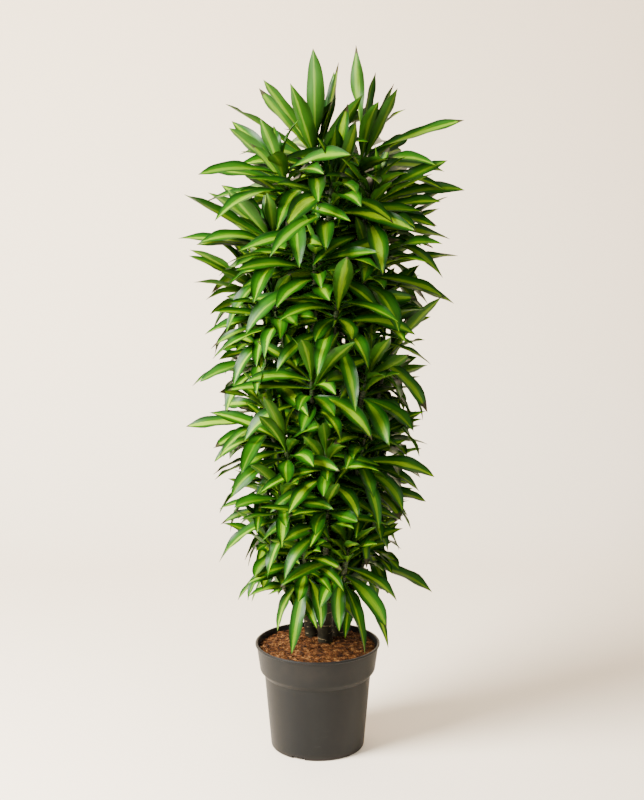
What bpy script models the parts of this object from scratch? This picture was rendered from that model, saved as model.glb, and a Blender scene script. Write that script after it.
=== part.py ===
"""A branched corn plant, the dracaena with striped leaves, in a round nursery pot, at its real size.

Frame: metres, +Z up, origin on the floor under the middle of the pot, the plant's front towards -Y.
Pieces: the pot, the soil in it, three woody canes standing in the soil, and the leafy heads that have
sprouted from the canes. A head is one grown piece: its green shoot, its leaves and its rolled youngest
leaf. Every leaf is grown clear of every other leaf, so no two solids touch.
"""

import math
import random

import bmesh
import bpy
from mathutils import Vector
from mathutils.bvhtree import BVHTree

UP = Vector((0, 0, 1))
GAP = 0.0003  # between solids that rest on each other
SMOOTH_ANGLE = math.radians(35)

# Pot: a thin plastic container with a stepped collar under its rim.
POT_HEIGHT = 0.268
RIM_RADIUS = 0.1555
POT_WALL = 0.0024
POT_SEGMENTS = 48
RIM_BEAD_HEIGHT = 0.006
COLLAR_TOP_RADIUS = 0.1520
COLLAR_FOOT_RADIUS = 0.1435
COLLAR_FOOT_HEIGHT = 0.200
BODY_TOP_RADIUS = 0.1325
BODY_TOP_HEIGHT = 0.187
BODY_FOOT_RADIUS = 0.1165
BASE_ROUNDING = 0.006
BASE_CHANNEL = (0.045, 0.092)  # inner and outer radius of the drained ring under the base
BASE_CHANNEL_HEIGHT = 0.005
BASE_CHANNEL_SLOPE = 0.003
DRAIN_HOLES = 6
DRAIN_HOLE_RADIUS = 0.007
NOTCHES = 3
NOTCH_WIDTH = 0.034
NOTCH_HEIGHT = 0.007
FIRST_NOTCH = math.radians(245.5)

# Soil: fills the pot to just under the rim.
SOIL_TOP = 0.2575
SOIL_MOUND = 0.0045
CANE_DEPTH = 0.090

# Canes: centre line points (x, y, z) and the radius at the soil and at the top.
CANE_SIDES = 10
CANE_STEP = 0.09
CANES = {
    "cane_front": {
        "route": ((0.019, 0.030, 0.265), (0.012, 0.004, 0.62), (-0.014, -0.016, 1.05)),
        "radii": (0.0185, 0.0150),
    },
    "cane_left": {
        "route": ((-0.016, 0.074, 0.265), (-0.048, 0.044, 0.80), (-0.030, 0.030, 1.31)),
        "radii": (0.0165, 0.0120),
    },
    "cane_right": {
        "route": ((0.052, 0.080, 0.265), (0.074, 0.048, 0.80), (0.084, 0.034, 1.29)),
        "radii": (0.0165, 0.0120),
    },
}

# Shoots: a green stem that leaves its cane, turns upwards and carries the leaves on its last stretch.
SHOOT_SIDES = 5
SHOOT_RADIUS = 0.0070
SHOOT_BENDS = 3
SHOOT_RISE = 0.045
SHOOT_SLANT = 0.7
SHOOT_KNEE = 0.4  # share of its rise at which a shoot turns upwards
SHOOT_LEAN = 0.30
SHOOT_SWELL = 1.12  # thickness at its foot, and how much it loses from ring to ring
SHOOT_THINNING = 0.04
LEAFY_THINNING = 0.35
SHOOT_STRAIGHTENING = 0.006
LOWEST_SHOOT = 0.375
BELOW_CANE_TOP = 0.012
SHOOT_GAP = 0.0012  # from the cane's bark, which leans a little
LEAFY_LENGTH = 0.110
LEAFY_STEPS = 6
SPEAR_FOOT = 0.012
SPEAR_LENGTH = 0.070
SPEAR_RADIUS = 0.0032

# Leaves: lance-shaped, folded along the midrib, arching from base to tip.
BLADE_STATIONS = ((0.28, 0.90), (0.66, 0.88))  # share of length, share of full width
BLADE_THICKNESS = 0.0014
BLADE_FOLD = 0.22
BLADE_FACING = (0.5, 1.3)  # how strongly a blade turns its top to the light
LIGHT_RISE = 0.35
LIGHT_FRONT = 0.8  # the light comes from the plant's front and its back more than from its sides
PLANT_AXIS = (0.010, 0.045)
BLADE_INNER_SHARE = 0.14  # the stretch by the stem, where leaves of one head may come close together
BLADE_INNER_WIDTH = 0.55
UPRIGHT_SHARE = 0.25  # a blade that reaches out less than this share of its length stands up
LEAST_OPENING = 0.15  # between a leaf's first stretch and the side of its shoot
CLEARANCE = 0.0010
POT_CLEARANCE = 0.010
LEAF_LENGTH = (0.190, 0.250)
LEAF_WIDTH = (0.037, 0.049)
LEAF_COUNT = 24
SMALLEST_LEAVES = (0.40, 0.80)  # height of the lowest heads, and the size of their leaves to the others
LARGEST_LEAVES = (1.35, 1.08)
OUTLINE = ((0.28, 0.16), (0.45, 0.21), (0.60, 0.24), (0.75, 0.27), (1.00, 0.27), (1.15, 0.30),
           (1.30, 0.33), (1.45, 0.33), (1.60, 0.22), (1.72, 0.08))  # height, reach from the middle
OLD_LEAF = (math.radians(-2), math.radians(50))  # rise at its base, and how far it bends down by its tip
YOUNG_LEAF = (math.radians(66), math.radians(12))
AGEING = 1.4  # above 1, more of a head's leaves are old ones
RISE_SPREAD = 0.6
BEND_SPREAD = (0.3, 1.6)
SHORTENED = 0.45  # share that a leaf may lose to fit its place
NARROWED = 0.30
GOLDEN_ANGLE = math.radians(137.508)
TRIES = 60
TIP_WANDER = 0.0012  # how much further from its place a leading leaf's tip may end, try by try
LEADING_ARCH = (1.3, 0.01)
LEADING_OPENING = 0.02
LEADING_RISES = (-0.3, 0.9)  # of the leaves that start lowest and highest on the leafy stretch
MOST_MISSES = 8  # leaves of one head that found no room, before the head is full

# Heads: the cane each grows from, and the foot of its leafy stretch.
HEADS = {
    "crown_left": ("cane_left", (-0.002, 0.015, 1.385)),
    "crown_right": ("cane_right", (0.086, 0.015, 1.370)),
    "crown_front": ("cane_left", (0.024, -0.070, 1.290)),
    "upper_left": ("cane_left", (-0.055, -0.030, 1.320)),
    "upper_right": ("cane_right", (0.100, -0.020, 1.270)),
    "high_left": ("cane_left", (-0.080, -0.030, 1.170)),
    "high_front": ("cane_front", (-0.004, -0.078, 1.140)),
    "high_right": ("cane_right", (0.095, -0.035, 1.120)),
    "shoulder_front": ("cane_front", (0.036, -0.088, 1.030)),
    "shoulder_left": ("cane_front", (-0.076, -0.035, 1.020)),
    "shoulder_right": ("cane_right", (0.112, 0.000, 0.980)),
    "waist_far_left": ("cane_left", (-0.118, 0.010, 0.930)),
    "waist_front": ("cane_front", (-0.010, -0.092, 0.845)),
    "waist_right": ("cane_right", (0.094, -0.055, 0.850)),
    "middle_left": ("cane_left", (-0.098, -0.020, 0.765)),
    "middle_front_left": ("cane_front", (-0.058, -0.078, 0.690)),
    "middle_front": ("cane_front", (0.016, -0.104, 0.670)),
    "middle_right": ("cane_front", (0.088, -0.062, 0.700)),
    "low_left": ("cane_left", (-0.068, -0.060, 0.570)),
    "low_front": ("cane_front", (0.020, -0.100, 0.550)),
    "low_right": ("cane_right", (0.102, -0.005, 0.575)),
    "foot_left": ("cane_left", (-0.082, -0.025, 0.425)),
    "foot_front_left": ("cane_front", (-0.024, -0.078, 0.430)),
    "foot_front_right": ("cane_front", (0.058, -0.082, 0.440)),
    "foot_right": ("cane_right", (0.104, 0.015, 0.440)),
    "side_right_high": ("cane_right", (0.150, 0.052, 1.190)),
    "side_right_middle": ("cane_right", (0.150, 0.056, 0.900)),
    "side_right_low": ("cane_right", (0.146, 0.064, 0.660)),
    "side_left_high": ("cane_left", (-0.122, 0.050, 1.050)),
    "side_left_low": ("cane_left", (-0.128, 0.058, 0.640)),
    "back_crown": ("cane_right", (0.030, 0.132, 1.270)),
    "back_high_left": ("cane_left", (-0.082, 0.126, 1.130)),
    "back_high_right": ("cane_right", (0.118, 0.132, 1.080)),
    "back_waist": ("cane_left", (0.004, 0.154, 0.960)),
    "back_middle_left": ("cane_left", (-0.100, 0.128, 0.800)),
    "back_middle_right": ("cane_right", (0.112, 0.142, 0.780)),
    "back_low": ("cane_right", (0.020, 0.164, 0.640)),
    "back_low_left": ("cane_left", (-0.084, 0.130, 0.500)),
    "back_low_right": ("cane_right", (0.112, 0.136, 0.480)),
    "back_foot": ("cane_right", (0.020, 0.150, 0.390)),
}

# Leading leaves: for the heads that show, where each longest leaf ends: x, y, z of its tip, how far its
# middle arches above the straight line as a share of its length, and its width.
LEADING_LEAVES = {
    "crown_left": (
        (-0.010, 0.000, 1.712, 0.00, 0.046),
        (0.037, 0.030, 1.685, 0.00, 0.036),
        (0.016, 0.060, 1.660, 0.00, 0.034),
        (-0.060, -0.050, 1.620, 0.02, 0.040),
        (-0.125, -0.020, 1.640, 0.03, 0.040),
        (-0.110, 0.050, 1.650, 0.02, 0.038),
        (-0.215, 0.000, 1.585, 0.05, 0.044),
        (0.013, -0.035, 1.620, 0.00, 0.038),
    ),
    "crown_right": (
        (0.090, 0.000, 1.720, 0.00, 0.036),
        (0.122, 0.020, 1.650, 0.02, 0.036),
        (0.178, 0.000, 1.637, 0.04, 0.042),
        (0.185, -0.055, 1.620, 0.04, 0.038),
        (0.345, 0.000, 1.548, 0.05, 0.042),
        (0.218, 0.060, 1.515, 0.05, 0.038),
        (0.145, -0.100, 1.572, 0.04, 0.036),
    ),
    "crown_front": (
        (0.042, -0.120, 1.535, 0.00, 0.052),
        (0.070, -0.080, 1.585, 0.02, 0.034),
        (0.078, -0.145, 1.548, 0.03, 0.038),
        (0.020, -0.200, 1.255, 0.28, 0.042),
    ),
    "upper_left": (
        (-0.205, -0.040, 1.530, 0.05, 0.044),
        (-0.270, 0.000, 1.430, 0.06, 0.040),
        (-0.130, -0.100, 1.550, 0.03, 0.036),
        (-0.152, 0.060, 1.440, 0.08, 0.034),
    ),
    "upper_right": (
        (0.348, 0.000, 1.385, 0.12, 0.036),
        (0.288, -0.050, 1.360, 0.10, 0.040),
        (0.280, -0.070, 1.305, 0.12, 0.042),
        (0.225, -0.120, 1.305, 0.10, 0.038),
        (0.250, 0.030, 1.250, 0.14, 0.036),
    ),
    "high_left": (
        (-0.310, -0.060, 1.378, 0.02, 0.056),
        (-0.235, -0.070, 1.410, 0.02, 0.048),
        (-0.330, -0.010, 1.272, 0.06, 0.038),
        (-0.190, -0.140, 1.215, 0.10, 0.034),
        (-0.237, 0.020, 1.180, 0.08, 0.040),
        (-0.210, -0.090, 1.165, 0.10, 0.036),
        (-0.217, -0.050, 1.050, 0.20, 0.046),
    ),
    "high_right": (
        (0.335, 0.000, 1.230, 0.06, 0.038),
        (0.300, -0.060, 1.135, 0.10, 0.040),
        (0.330, 0.030, 1.112, 0.10, 0.044),
        (0.230, 0.080, 1.225, 0.06, 0.036),
        (0.163, -0.090, 1.080, 0.16, 0.022),
    ),
    "shoulder_front": (
        (0.078, -0.190, 1.050, 0.16, 0.042),
        (-0.005, -0.190, 1.050, 0.14, 0.036),
    ),
    "shoulder_left": (
        (-0.270, -0.030, 1.045, 0.08, 0.040),
        (-0.260, 0.040, 1.000, 0.12, 0.026),
    ),
    "shoulder_right": (
        (0.232, -0.060, 1.022, 0.08, 0.036),
        (0.205, 0.000, 1.040, 0.14, 0.038),
        (0.275, 0.020, 0.965, 0.10, 0.026),
        (0.215, 0.050, 0.915, 0.18, 0.024),
    ),
    "waist_far_left": (
        (-0.235, 0.040, 1.000, 0.06, 0.036),
        (-0.282, -0.030, 0.930, 0.10, 0.040),
        (-0.296, 0.020, 0.914, 0.12, 0.036),
    ),
    "waist_front": (
        (-0.210, -0.130, 0.927, 0.06, 0.042),
        (-0.036, -0.210, 0.845, 0.16, 0.038),
        (0.040, -0.210, 0.880, 0.14, 0.036),
    ),
    "waist_right": (
        (0.225, -0.110, 0.828, 0.10, 0.042),
        (0.210, -0.010, 0.850, 0.18, 0.034),
        (0.180, -0.060, 0.945, 0.08, 0.036),
        (0.213, -0.130, 1.012, 0.02, 0.038),
    ),
    "middle_left": (
        (-0.320, 0.000, 0.815, 0.06, 0.040),
        (-0.245, -0.070, 0.778, 0.10, 0.046),
        (-0.235, 0.060, 0.768, 0.10, 0.038),
    ),
    "middle_front_left": (
        (-0.185, -0.140, 0.740, 0.08, 0.034),
        (-0.212, -0.050, 0.668, 0.16, 0.020),
        (-0.190, -0.080, 0.645, 0.18, 0.038),
        (-0.070, -0.200, 0.720, 0.14, 0.040),
    ),
    "middle_front": (
        (0.022, -0.215, 0.730, 0.12, 0.036),
        (0.075, -0.205, 0.640, 0.18, 0.038),
    ),
    "middle_right": (
        (0.280, -0.080, 0.708, 0.12, 0.048),
        (0.248, -0.020, 0.658, 0.14, 0.040),
        (0.132, -0.180, 0.680, 0.16, 0.038),
        (0.270, 0.030, 0.765, 0.08, 0.032),
    ),
    "low_left": (
        (-0.198, -0.110, 0.640, 0.10, 0.046),
        (-0.240, 0.010, 0.566, 0.12, 0.022),
        (-0.237, -0.090, 0.500, 0.22, 0.042),
    ),
    "low_front": (
        (0.094, -0.205, 0.630, 0.06, 0.040),
        (-0.004, -0.215, 0.600, 0.12, 0.036),
    ),
    "low_right": (
        (0.265, -0.020, 0.632, 0.10, 0.038),
        (0.196, -0.070, 0.605, 0.10, 0.030),
        (0.198, 0.040, 0.556, 0.14, 0.036),
        (0.200, -0.030, 0.512, 0.20, 0.022),
    ),
    "foot_left": (
        (-0.150, -0.150, 0.480, 0.08, 0.038),
        (-0.132, -0.110, 0.440, 0.10, 0.038),
        (-0.198, 0.000, 0.375, 0.14, 0.036),
        (-0.166, 0.050, 0.355, 0.18, 0.026),
    ),
    "foot_front_left": (
        (-0.062, -0.160, 0.292, 0.12, 0.034),
        (-0.098, -0.080, 0.322, 0.14, 0.032),
        (-0.128, -0.100, 0.375, 0.10, 0.034),
        (-0.046, -0.200, 0.435, 0.08, 0.034),
        (0.008, -0.150, 0.352, 0.14, 0.036),
    ),
    "foot_front_right": (
        (0.190, -0.130, 0.415, 0.08, 0.040),
        (0.165, -0.170, 0.360, 0.14, 0.046),
        (0.173, -0.080, 0.280, 0.20, 0.034),
        (0.113, -0.170, 0.298, 0.12, 0.034),
        (0.006, -0.200, 0.420, 0.10, 0.036),
        (0.095, -0.190, 0.575, 0.02, 0.036),
        (0.052, -0.165, 0.350, 0.14, 0.036),
    ),
    "foot_right": (
        (0.282, -0.030, 0.405, 0.10, 0.044),
        (0.198, -0.050, 0.470, 0.10, 0.036),
    ),
}


def material(name, colour, roughness):
    made = bpy.data.materials.new(name)
    made.use_nodes = True
    shader = made.node_tree.nodes["Principled BSDF"]
    shader.inputs["Base Color"].default_value = (*colour, 1)
    shader.inputs["Roughness"].default_value = roughness
    return made


def add_object(name, mesh, finish):
    made = bpy.data.objects.new(name, mesh)
    bpy.context.scene.collection.objects.link(made)
    mesh.materials.append(finish)
    return made


def mesh_of(name, points, faces):
    mesh = bpy.data.meshes.new(name)
    mesh.from_pydata([tuple(p) for p in points], [], faces)
    mesh.validate()
    return mesh


def hide_cutter(cutter):
    cutter.hide_render = True
    cutter.display_type = "WIRE"


def cut(piece, cutter):
    difference = piece.modifiers.new("Cut " + cutter.name, "BOOLEAN")
    difference.operation = "DIFFERENCE"
    difference.object = cutter
    hide_cutter(cutter)


def turned(name, profile, segments):
    """A closed solid of revolution: the profile runs from the axis below, round the outside, to the axis."""
    inner = profile[1:-1]
    points = [Vector((0, 0, profile[0][1]))]
    for radius, height in inner:
        for i in range(segments):
            angle = 2 * math.pi * i / segments
            points.append(Vector((radius * math.cos(angle), radius * math.sin(angle), height)))
    points.append(Vector((0, 0, profile[-1][1])))
    faces = []
    last = len(points) - 1
    for i in range(segments):
        j = (i + 1) % segments
        faces.append((0, 1 + j, 1 + i))
        for ring in range(len(inner) - 1):
            low = 1 + ring * segments
            high = low + segments
            faces.append((low + i, low + j, high + j, high + i))
        top = 1 + (len(inner) - 1) * segments
        faces.append((top + i, top + j, last))
    return mesh_of(name, points, faces)


def cylinder(name, centre, radius, bottom, top, sides):
    """A cutter: a plain upright cylinder."""
    mesh = turned(name, ((0, bottom), (radius, bottom), (radius, top), (0, top)), sides)
    made = bpy.data.objects.new(name, mesh)
    made.location = (centre[0], centre[1], 0)
    bpy.context.scene.collection.objects.link(made)
    return made


def block(name, size, centre, turn):
    """A cutter: a box turned about Z."""
    mesh = bpy.data.meshes.new(name)
    shape = bmesh.new()
    bmesh.ops.create_cube(shape, size=1)
    bmesh.ops.scale(shape, vec=size, verts=shape.verts)
    shape.to_mesh(mesh)
    shape.free()
    made = bpy.data.objects.new(name, mesh)
    made.location = centre
    made.rotation_euler.z = turn
    bpy.context.scene.collection.objects.link(made)
    return made


def pot_inner_radius(height):
    """Radius of the inner wall of the pot's body at a height."""
    foot = BODY_FOOT_RADIUS - POT_WALL
    top = BODY_TOP_RADIUS - POT_WALL
    share = (height - BASE_ROUNDING) / (BODY_TOP_HEIGHT - BASE_ROUNDING)
    return foot + (top - foot) * share


def base_profile(lift):
    """The pot's floor from its middle pad, over the raised drained ring, to its outer foot."""
    pad, foot = BASE_CHANNEL
    return [
        (0, lift),
        (pad, lift),
        (pad + BASE_CHANNEL_SLOPE, BASE_CHANNEL_HEIGHT + lift),
        (foot - BASE_CHANNEL_SLOPE, BASE_CHANNEL_HEIGHT + lift),
        (foot, lift),
    ]


def make_pot(finish):
    bead = RIM_RADIUS - COLLAR_TOP_RADIUS
    bead_foot = POT_HEIGHT - RIM_BEAD_HEIGHT
    outside = base_profile(0) + [
        (BODY_FOOT_RADIUS - BASE_ROUNDING, 0),
        (BODY_FOOT_RADIUS - 0.3 * BASE_ROUNDING, 0.3 * BASE_ROUNDING),
        (BODY_FOOT_RADIUS, BASE_ROUNDING),
        (BODY_TOP_RADIUS, BODY_TOP_HEIGHT),
        (COLLAR_FOOT_RADIUS, COLLAR_FOOT_HEIGHT),
        (COLLAR_TOP_RADIUS, bead_foot),
        (RIM_RADIUS, bead_foot + bead / 2),
        (RIM_RADIUS, POT_HEIGHT - bead / 2),
        (RIM_RADIUS - bead / 2, POT_HEIGHT),
    ]
    inside = [
        (COLLAR_TOP_RADIUS - POT_WALL, POT_HEIGHT),
        (COLLAR_FOOT_RADIUS - POT_WALL, COLLAR_FOOT_HEIGHT + 0.4 * POT_WALL),
        (BODY_TOP_RADIUS - POT_WALL, BODY_TOP_HEIGHT + 0.4 * POT_WALL),
        (pot_inner_radius(POT_WALL), POT_WALL),
    ]
    profile = outside + inside + base_profile(POT_WALL)[::-1]
    pot = add_object("pot", turned("pot", profile, POT_SEGMENTS), finish)
    middle = sum(BASE_CHANNEL) / 2
    for i in range(DRAIN_HOLES):
        angle = 2 * math.pi * (i + 0.5) / DRAIN_HOLES
        centre = (middle * math.cos(angle), middle * math.sin(angle))
        cut(pot, cylinder(f"drain_cutter_{i}", centre, DRAIN_HOLE_RADIUS, -0.01, 0.02, 10))
    inner, outer = BASE_CHANNEL[1] + 0.004, BODY_FOOT_RADIUS + 0.010
    for i in range(NOTCHES):
        angle = FIRST_NOTCH + 2 * math.pi * i / NOTCHES
        reach = (inner + outer) / 2
        centre = (reach * math.cos(angle), reach * math.sin(angle), 0)
        cut(pot, block(f"notch_cutter_{i}", (outer - inner, NOTCH_WIDTH, 2 * NOTCH_HEIGHT), centre, angle))


def make_soil(finish):
    """The soil fills the pot to just under its rim, and has a socket for each cane."""
    side_gap = POT_WALL + 2 * GAP
    step_lift = 0.4 * POT_WALL + 2 * GAP
    floor = POT_WALL + GAP
    top_share = (SOIL_TOP - COLLAR_FOOT_HEIGHT) / (POT_HEIGHT - COLLAR_FOOT_HEIGHT)
    edge = COLLAR_FOOT_RADIUS + (COLLAR_TOP_RADIUS - COLLAR_FOOT_RADIUS) * top_share - side_gap
    profile = base_profile(floor) + [
        (pot_inner_radius(floor) - 2 * GAP, floor),
        (BODY_TOP_RADIUS - side_gap, BODY_TOP_HEIGHT + step_lift),
        (COLLAR_FOOT_RADIUS - side_gap - GAP, COLLAR_FOOT_HEIGHT + step_lift),
        (edge, SOIL_TOP),
        (0.55 * edge, SOIL_TOP + 0.6 * SOIL_MOUND),
        (0, SOIL_TOP + SOIL_MOUND),
    ]
    soil = add_object("soil", turned("soil", profile, POT_SEGMENTS), finish)
    for name, cane in CANES.items():
        x, y, _ = cane["route"][0]
        radius = cane["radii"][0] + GAP
        bottom = SOIL_TOP - CANE_DEPTH - GAP
        cut(soil, cylinder("socket_cutter_" + name, (x, y), radius, bottom, SOIL_TOP + 0.05, CANE_SIDES))


def cane_centre(cane, height):
    """The cane's centre at a height: a smooth bend through its three route points."""
    low, middle, high = (Vector(p) for p in cane["route"])
    height = min(max(height, low.z), high.z)
    share = (height - low.z) / (high.z - low.z)
    knee = (middle.z - low.z) / (high.z - low.z)
    pull = (middle - low.lerp(high, knee)) / (2 * knee * (1 - knee))
    centre = low.lerp(high, share) + 2 * share * (1 - share) * pull
    return Vector((centre.x, centre.y, height))


def cane_radius(cane, height):
    low, high = cane["route"][0][2], cane["route"][2][2]
    share = min(max((height - low) / (high - low), 0), 1)
    return cane["radii"][0] + (cane["radii"][1] - cane["radii"][0]) * share


def make_cane(name, cane, finish):
    """Level rings of points up the cane, straight where it stands in the soil."""
    top = cane["route"][2][2]
    soil_line = cane["route"][0][2]
    levels = [SOIL_TOP - CANE_DEPTH, soil_line]
    steps = round((top - soil_line) / CANE_STEP)
    levels += [soil_line + (top - soil_line) * (i + 1) / steps for i in range(steps)]
    points = []
    for level in levels:
        centre = cane_centre(cane, level)
        radius = cane_radius(cane, level)
        for i in range(CANE_SIDES):
            angle = 2 * math.pi * i / CANE_SIDES
            across = Vector((math.cos(angle), math.sin(angle), 0)) * radius
            points.append(Vector((centre.x, centre.y, level)) + across)
    faces = [tuple(reversed(range(CANE_SIDES)))]
    for ring in range(len(levels) - 1):
        low = ring * CANE_SIDES
        for i in range(CANE_SIDES):
            j = (i + 1) % CANE_SIDES
            faces.append((low + i, low + j, low + CANE_SIDES + j, low + CANE_SIDES + i))
    last = (len(levels) - 1) * CANE_SIDES
    faces.append(tuple(range(last, last + CANE_SIDES)))
    mesh = mesh_of(name, points, faces)
    add_object(name, mesh, finish)
    return points, faces


def between(x, points):
    """The value at x on the straight lines through some points, level past both ends."""
    for (x0, y0), (x1, y1) in zip(points, points[1:]):
        if x < x1:
            return y0 + (y1 - y0) * max(x - x0, 0) / (x1 - x0)
    return points[-1][1]


def bezier(p0, p1, p2, t):
    return p0.lerp(p1, t).lerp(p1.lerp(p2, t), t)


def light_on(point):
    """Where most light comes from: outwards from the plant's axis, from its front or its back, and above."""
    outward = level_direction(point - Vector((*PLANT_AXIS, 0)))
    return level_direction(outward + Vector((0, math.copysign(LIGHT_FRONT, outward.y), 0))) + UP * LIGHT_RISE


def level_direction(vector):
    flat = Vector((vector.x, vector.y, 0))
    return flat.normalized() if flat.length > 1e-6 else Vector((1, 0, 0))


class Thicket:
    """The solids already grown, to keep new ones clear of them."""

    def __init__(self):
        self.grown = []

    def add(self, owner, points, faces):
        low = Vector((min(p[i] for p in points) for i in range(3)))
        high = Vector((max(p[i] for p in points) for i in range(3)))
        self.grown.append((owner, low, high, BVHTree.FromPolygons(points, faces)))

    def touched(self, points, faces, skip=()):
        """The owner of the first solid that these faces run into, or None."""
        low = [min(p[i] for p in points) for i in range(3)]
        high = [max(p[i] for p in points) for i in range(3)]
        tree = None
        for owner, its_low, its_high, its_tree in self.grown:
            if owner in skip or any(low[i] > its_high[i] or high[i] < its_low[i] for i in range(3)):
                continue
            tree = tree or BVHTree.FromPolygons(points, faces)
            if tree.overlap(its_tree):
                return owner
        return None


def blade_faces(first, rings):
    """Triangles of a blade whose rings of four points start at an index and whose tip follows them.
    Both sides of the blade are split along the same diagonals, so that it keeps its thickness."""
    faces = []
    for ring in range(rings - 1):
        a = [first + 4 * ring + k for k in range(4)]
        b = [first + 4 * ring + 4 + k for k in range(4)]
        for edge, middle in ((0, 1), (0, 3), (2, 1), (2, 3)):
            strip = [(a[edge], a[middle], b[middle]), (a[edge], b[middle], b[edge])]
            turned_round = (middle - edge) % 4 == 3
            faces += [tri[::-1] for tri in strip] if turned_round else strip
    last = first + 4 * (rings - 1)
    tip = last + 4
    faces += [(last + k, last + (k + 1) % 4, tip) for k in range(4)]
    return faces


class Blade:
    """One leaf from a face of its shoot: a smooth arch from base to tip through a knee."""

    def __init__(self, base, knee, tip, width, facing, outward):
        self.base = base
        self.knee = knee
        self.tip = tip
        self.width = width
        self.light = light_on(base) * facing
        run = tip - base
        level = Vector((run.x, run.y, 0))
        facing = level if level.length > UPRIGHT_SHARE * run.length else outward
        self.side = level_direction(facing).cross(UP)

    def ring(self, share, spread, extra):
        """The blade's left edge, underside, right edge and top at a share of its length."""
        centre = bezier(self.base, self.knee, self.tip, share)
        along = (self.knee - self.base).lerp(self.tip - self.knee, share).normalized()
        side = (self.side - along * self.side.dot(along)).normalized()
        shaded = side.cross(along)
        towards = -1 if self.light.dot(shaded) < 0 else 1
        side = along.cross(shaded + self.light * towards * min(1, 2 * share)).normalized()
        top = side.cross(along)
        half = self.width * spread / 2 + extra
        edge = top * (BLADE_FOLD * half)
        thick = top * (BLADE_THICKNESS / 2 + extra)
        return [centre + side * half + edge, centre - thick, centre - side * half + edge, centre + thick]

    def rings(self, extra=0.0):
        return [point for share, spread in BLADE_STATIONS for point in self.ring(share, spread, extra)]

    def outer_part(self):
        """The blade away from its stem, swollen by the clearance that it keeps."""
        points = self.ring(BLADE_INNER_SHARE, BLADE_INNER_WIDTH, CLEARANCE) + self.rings(CLEARANCE)
        points.append(self.tip + (self.tip - self.knee).normalized() * CLEARANCE)
        return points, blade_faces(0, len(BLADE_STATIONS) + 1)

    def whole(self, root):
        """The blade from the four corners of its root face."""
        return root + self.rings() + [self.tip], blade_faces(0, len(BLADE_STATIONS) + 1)


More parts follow.
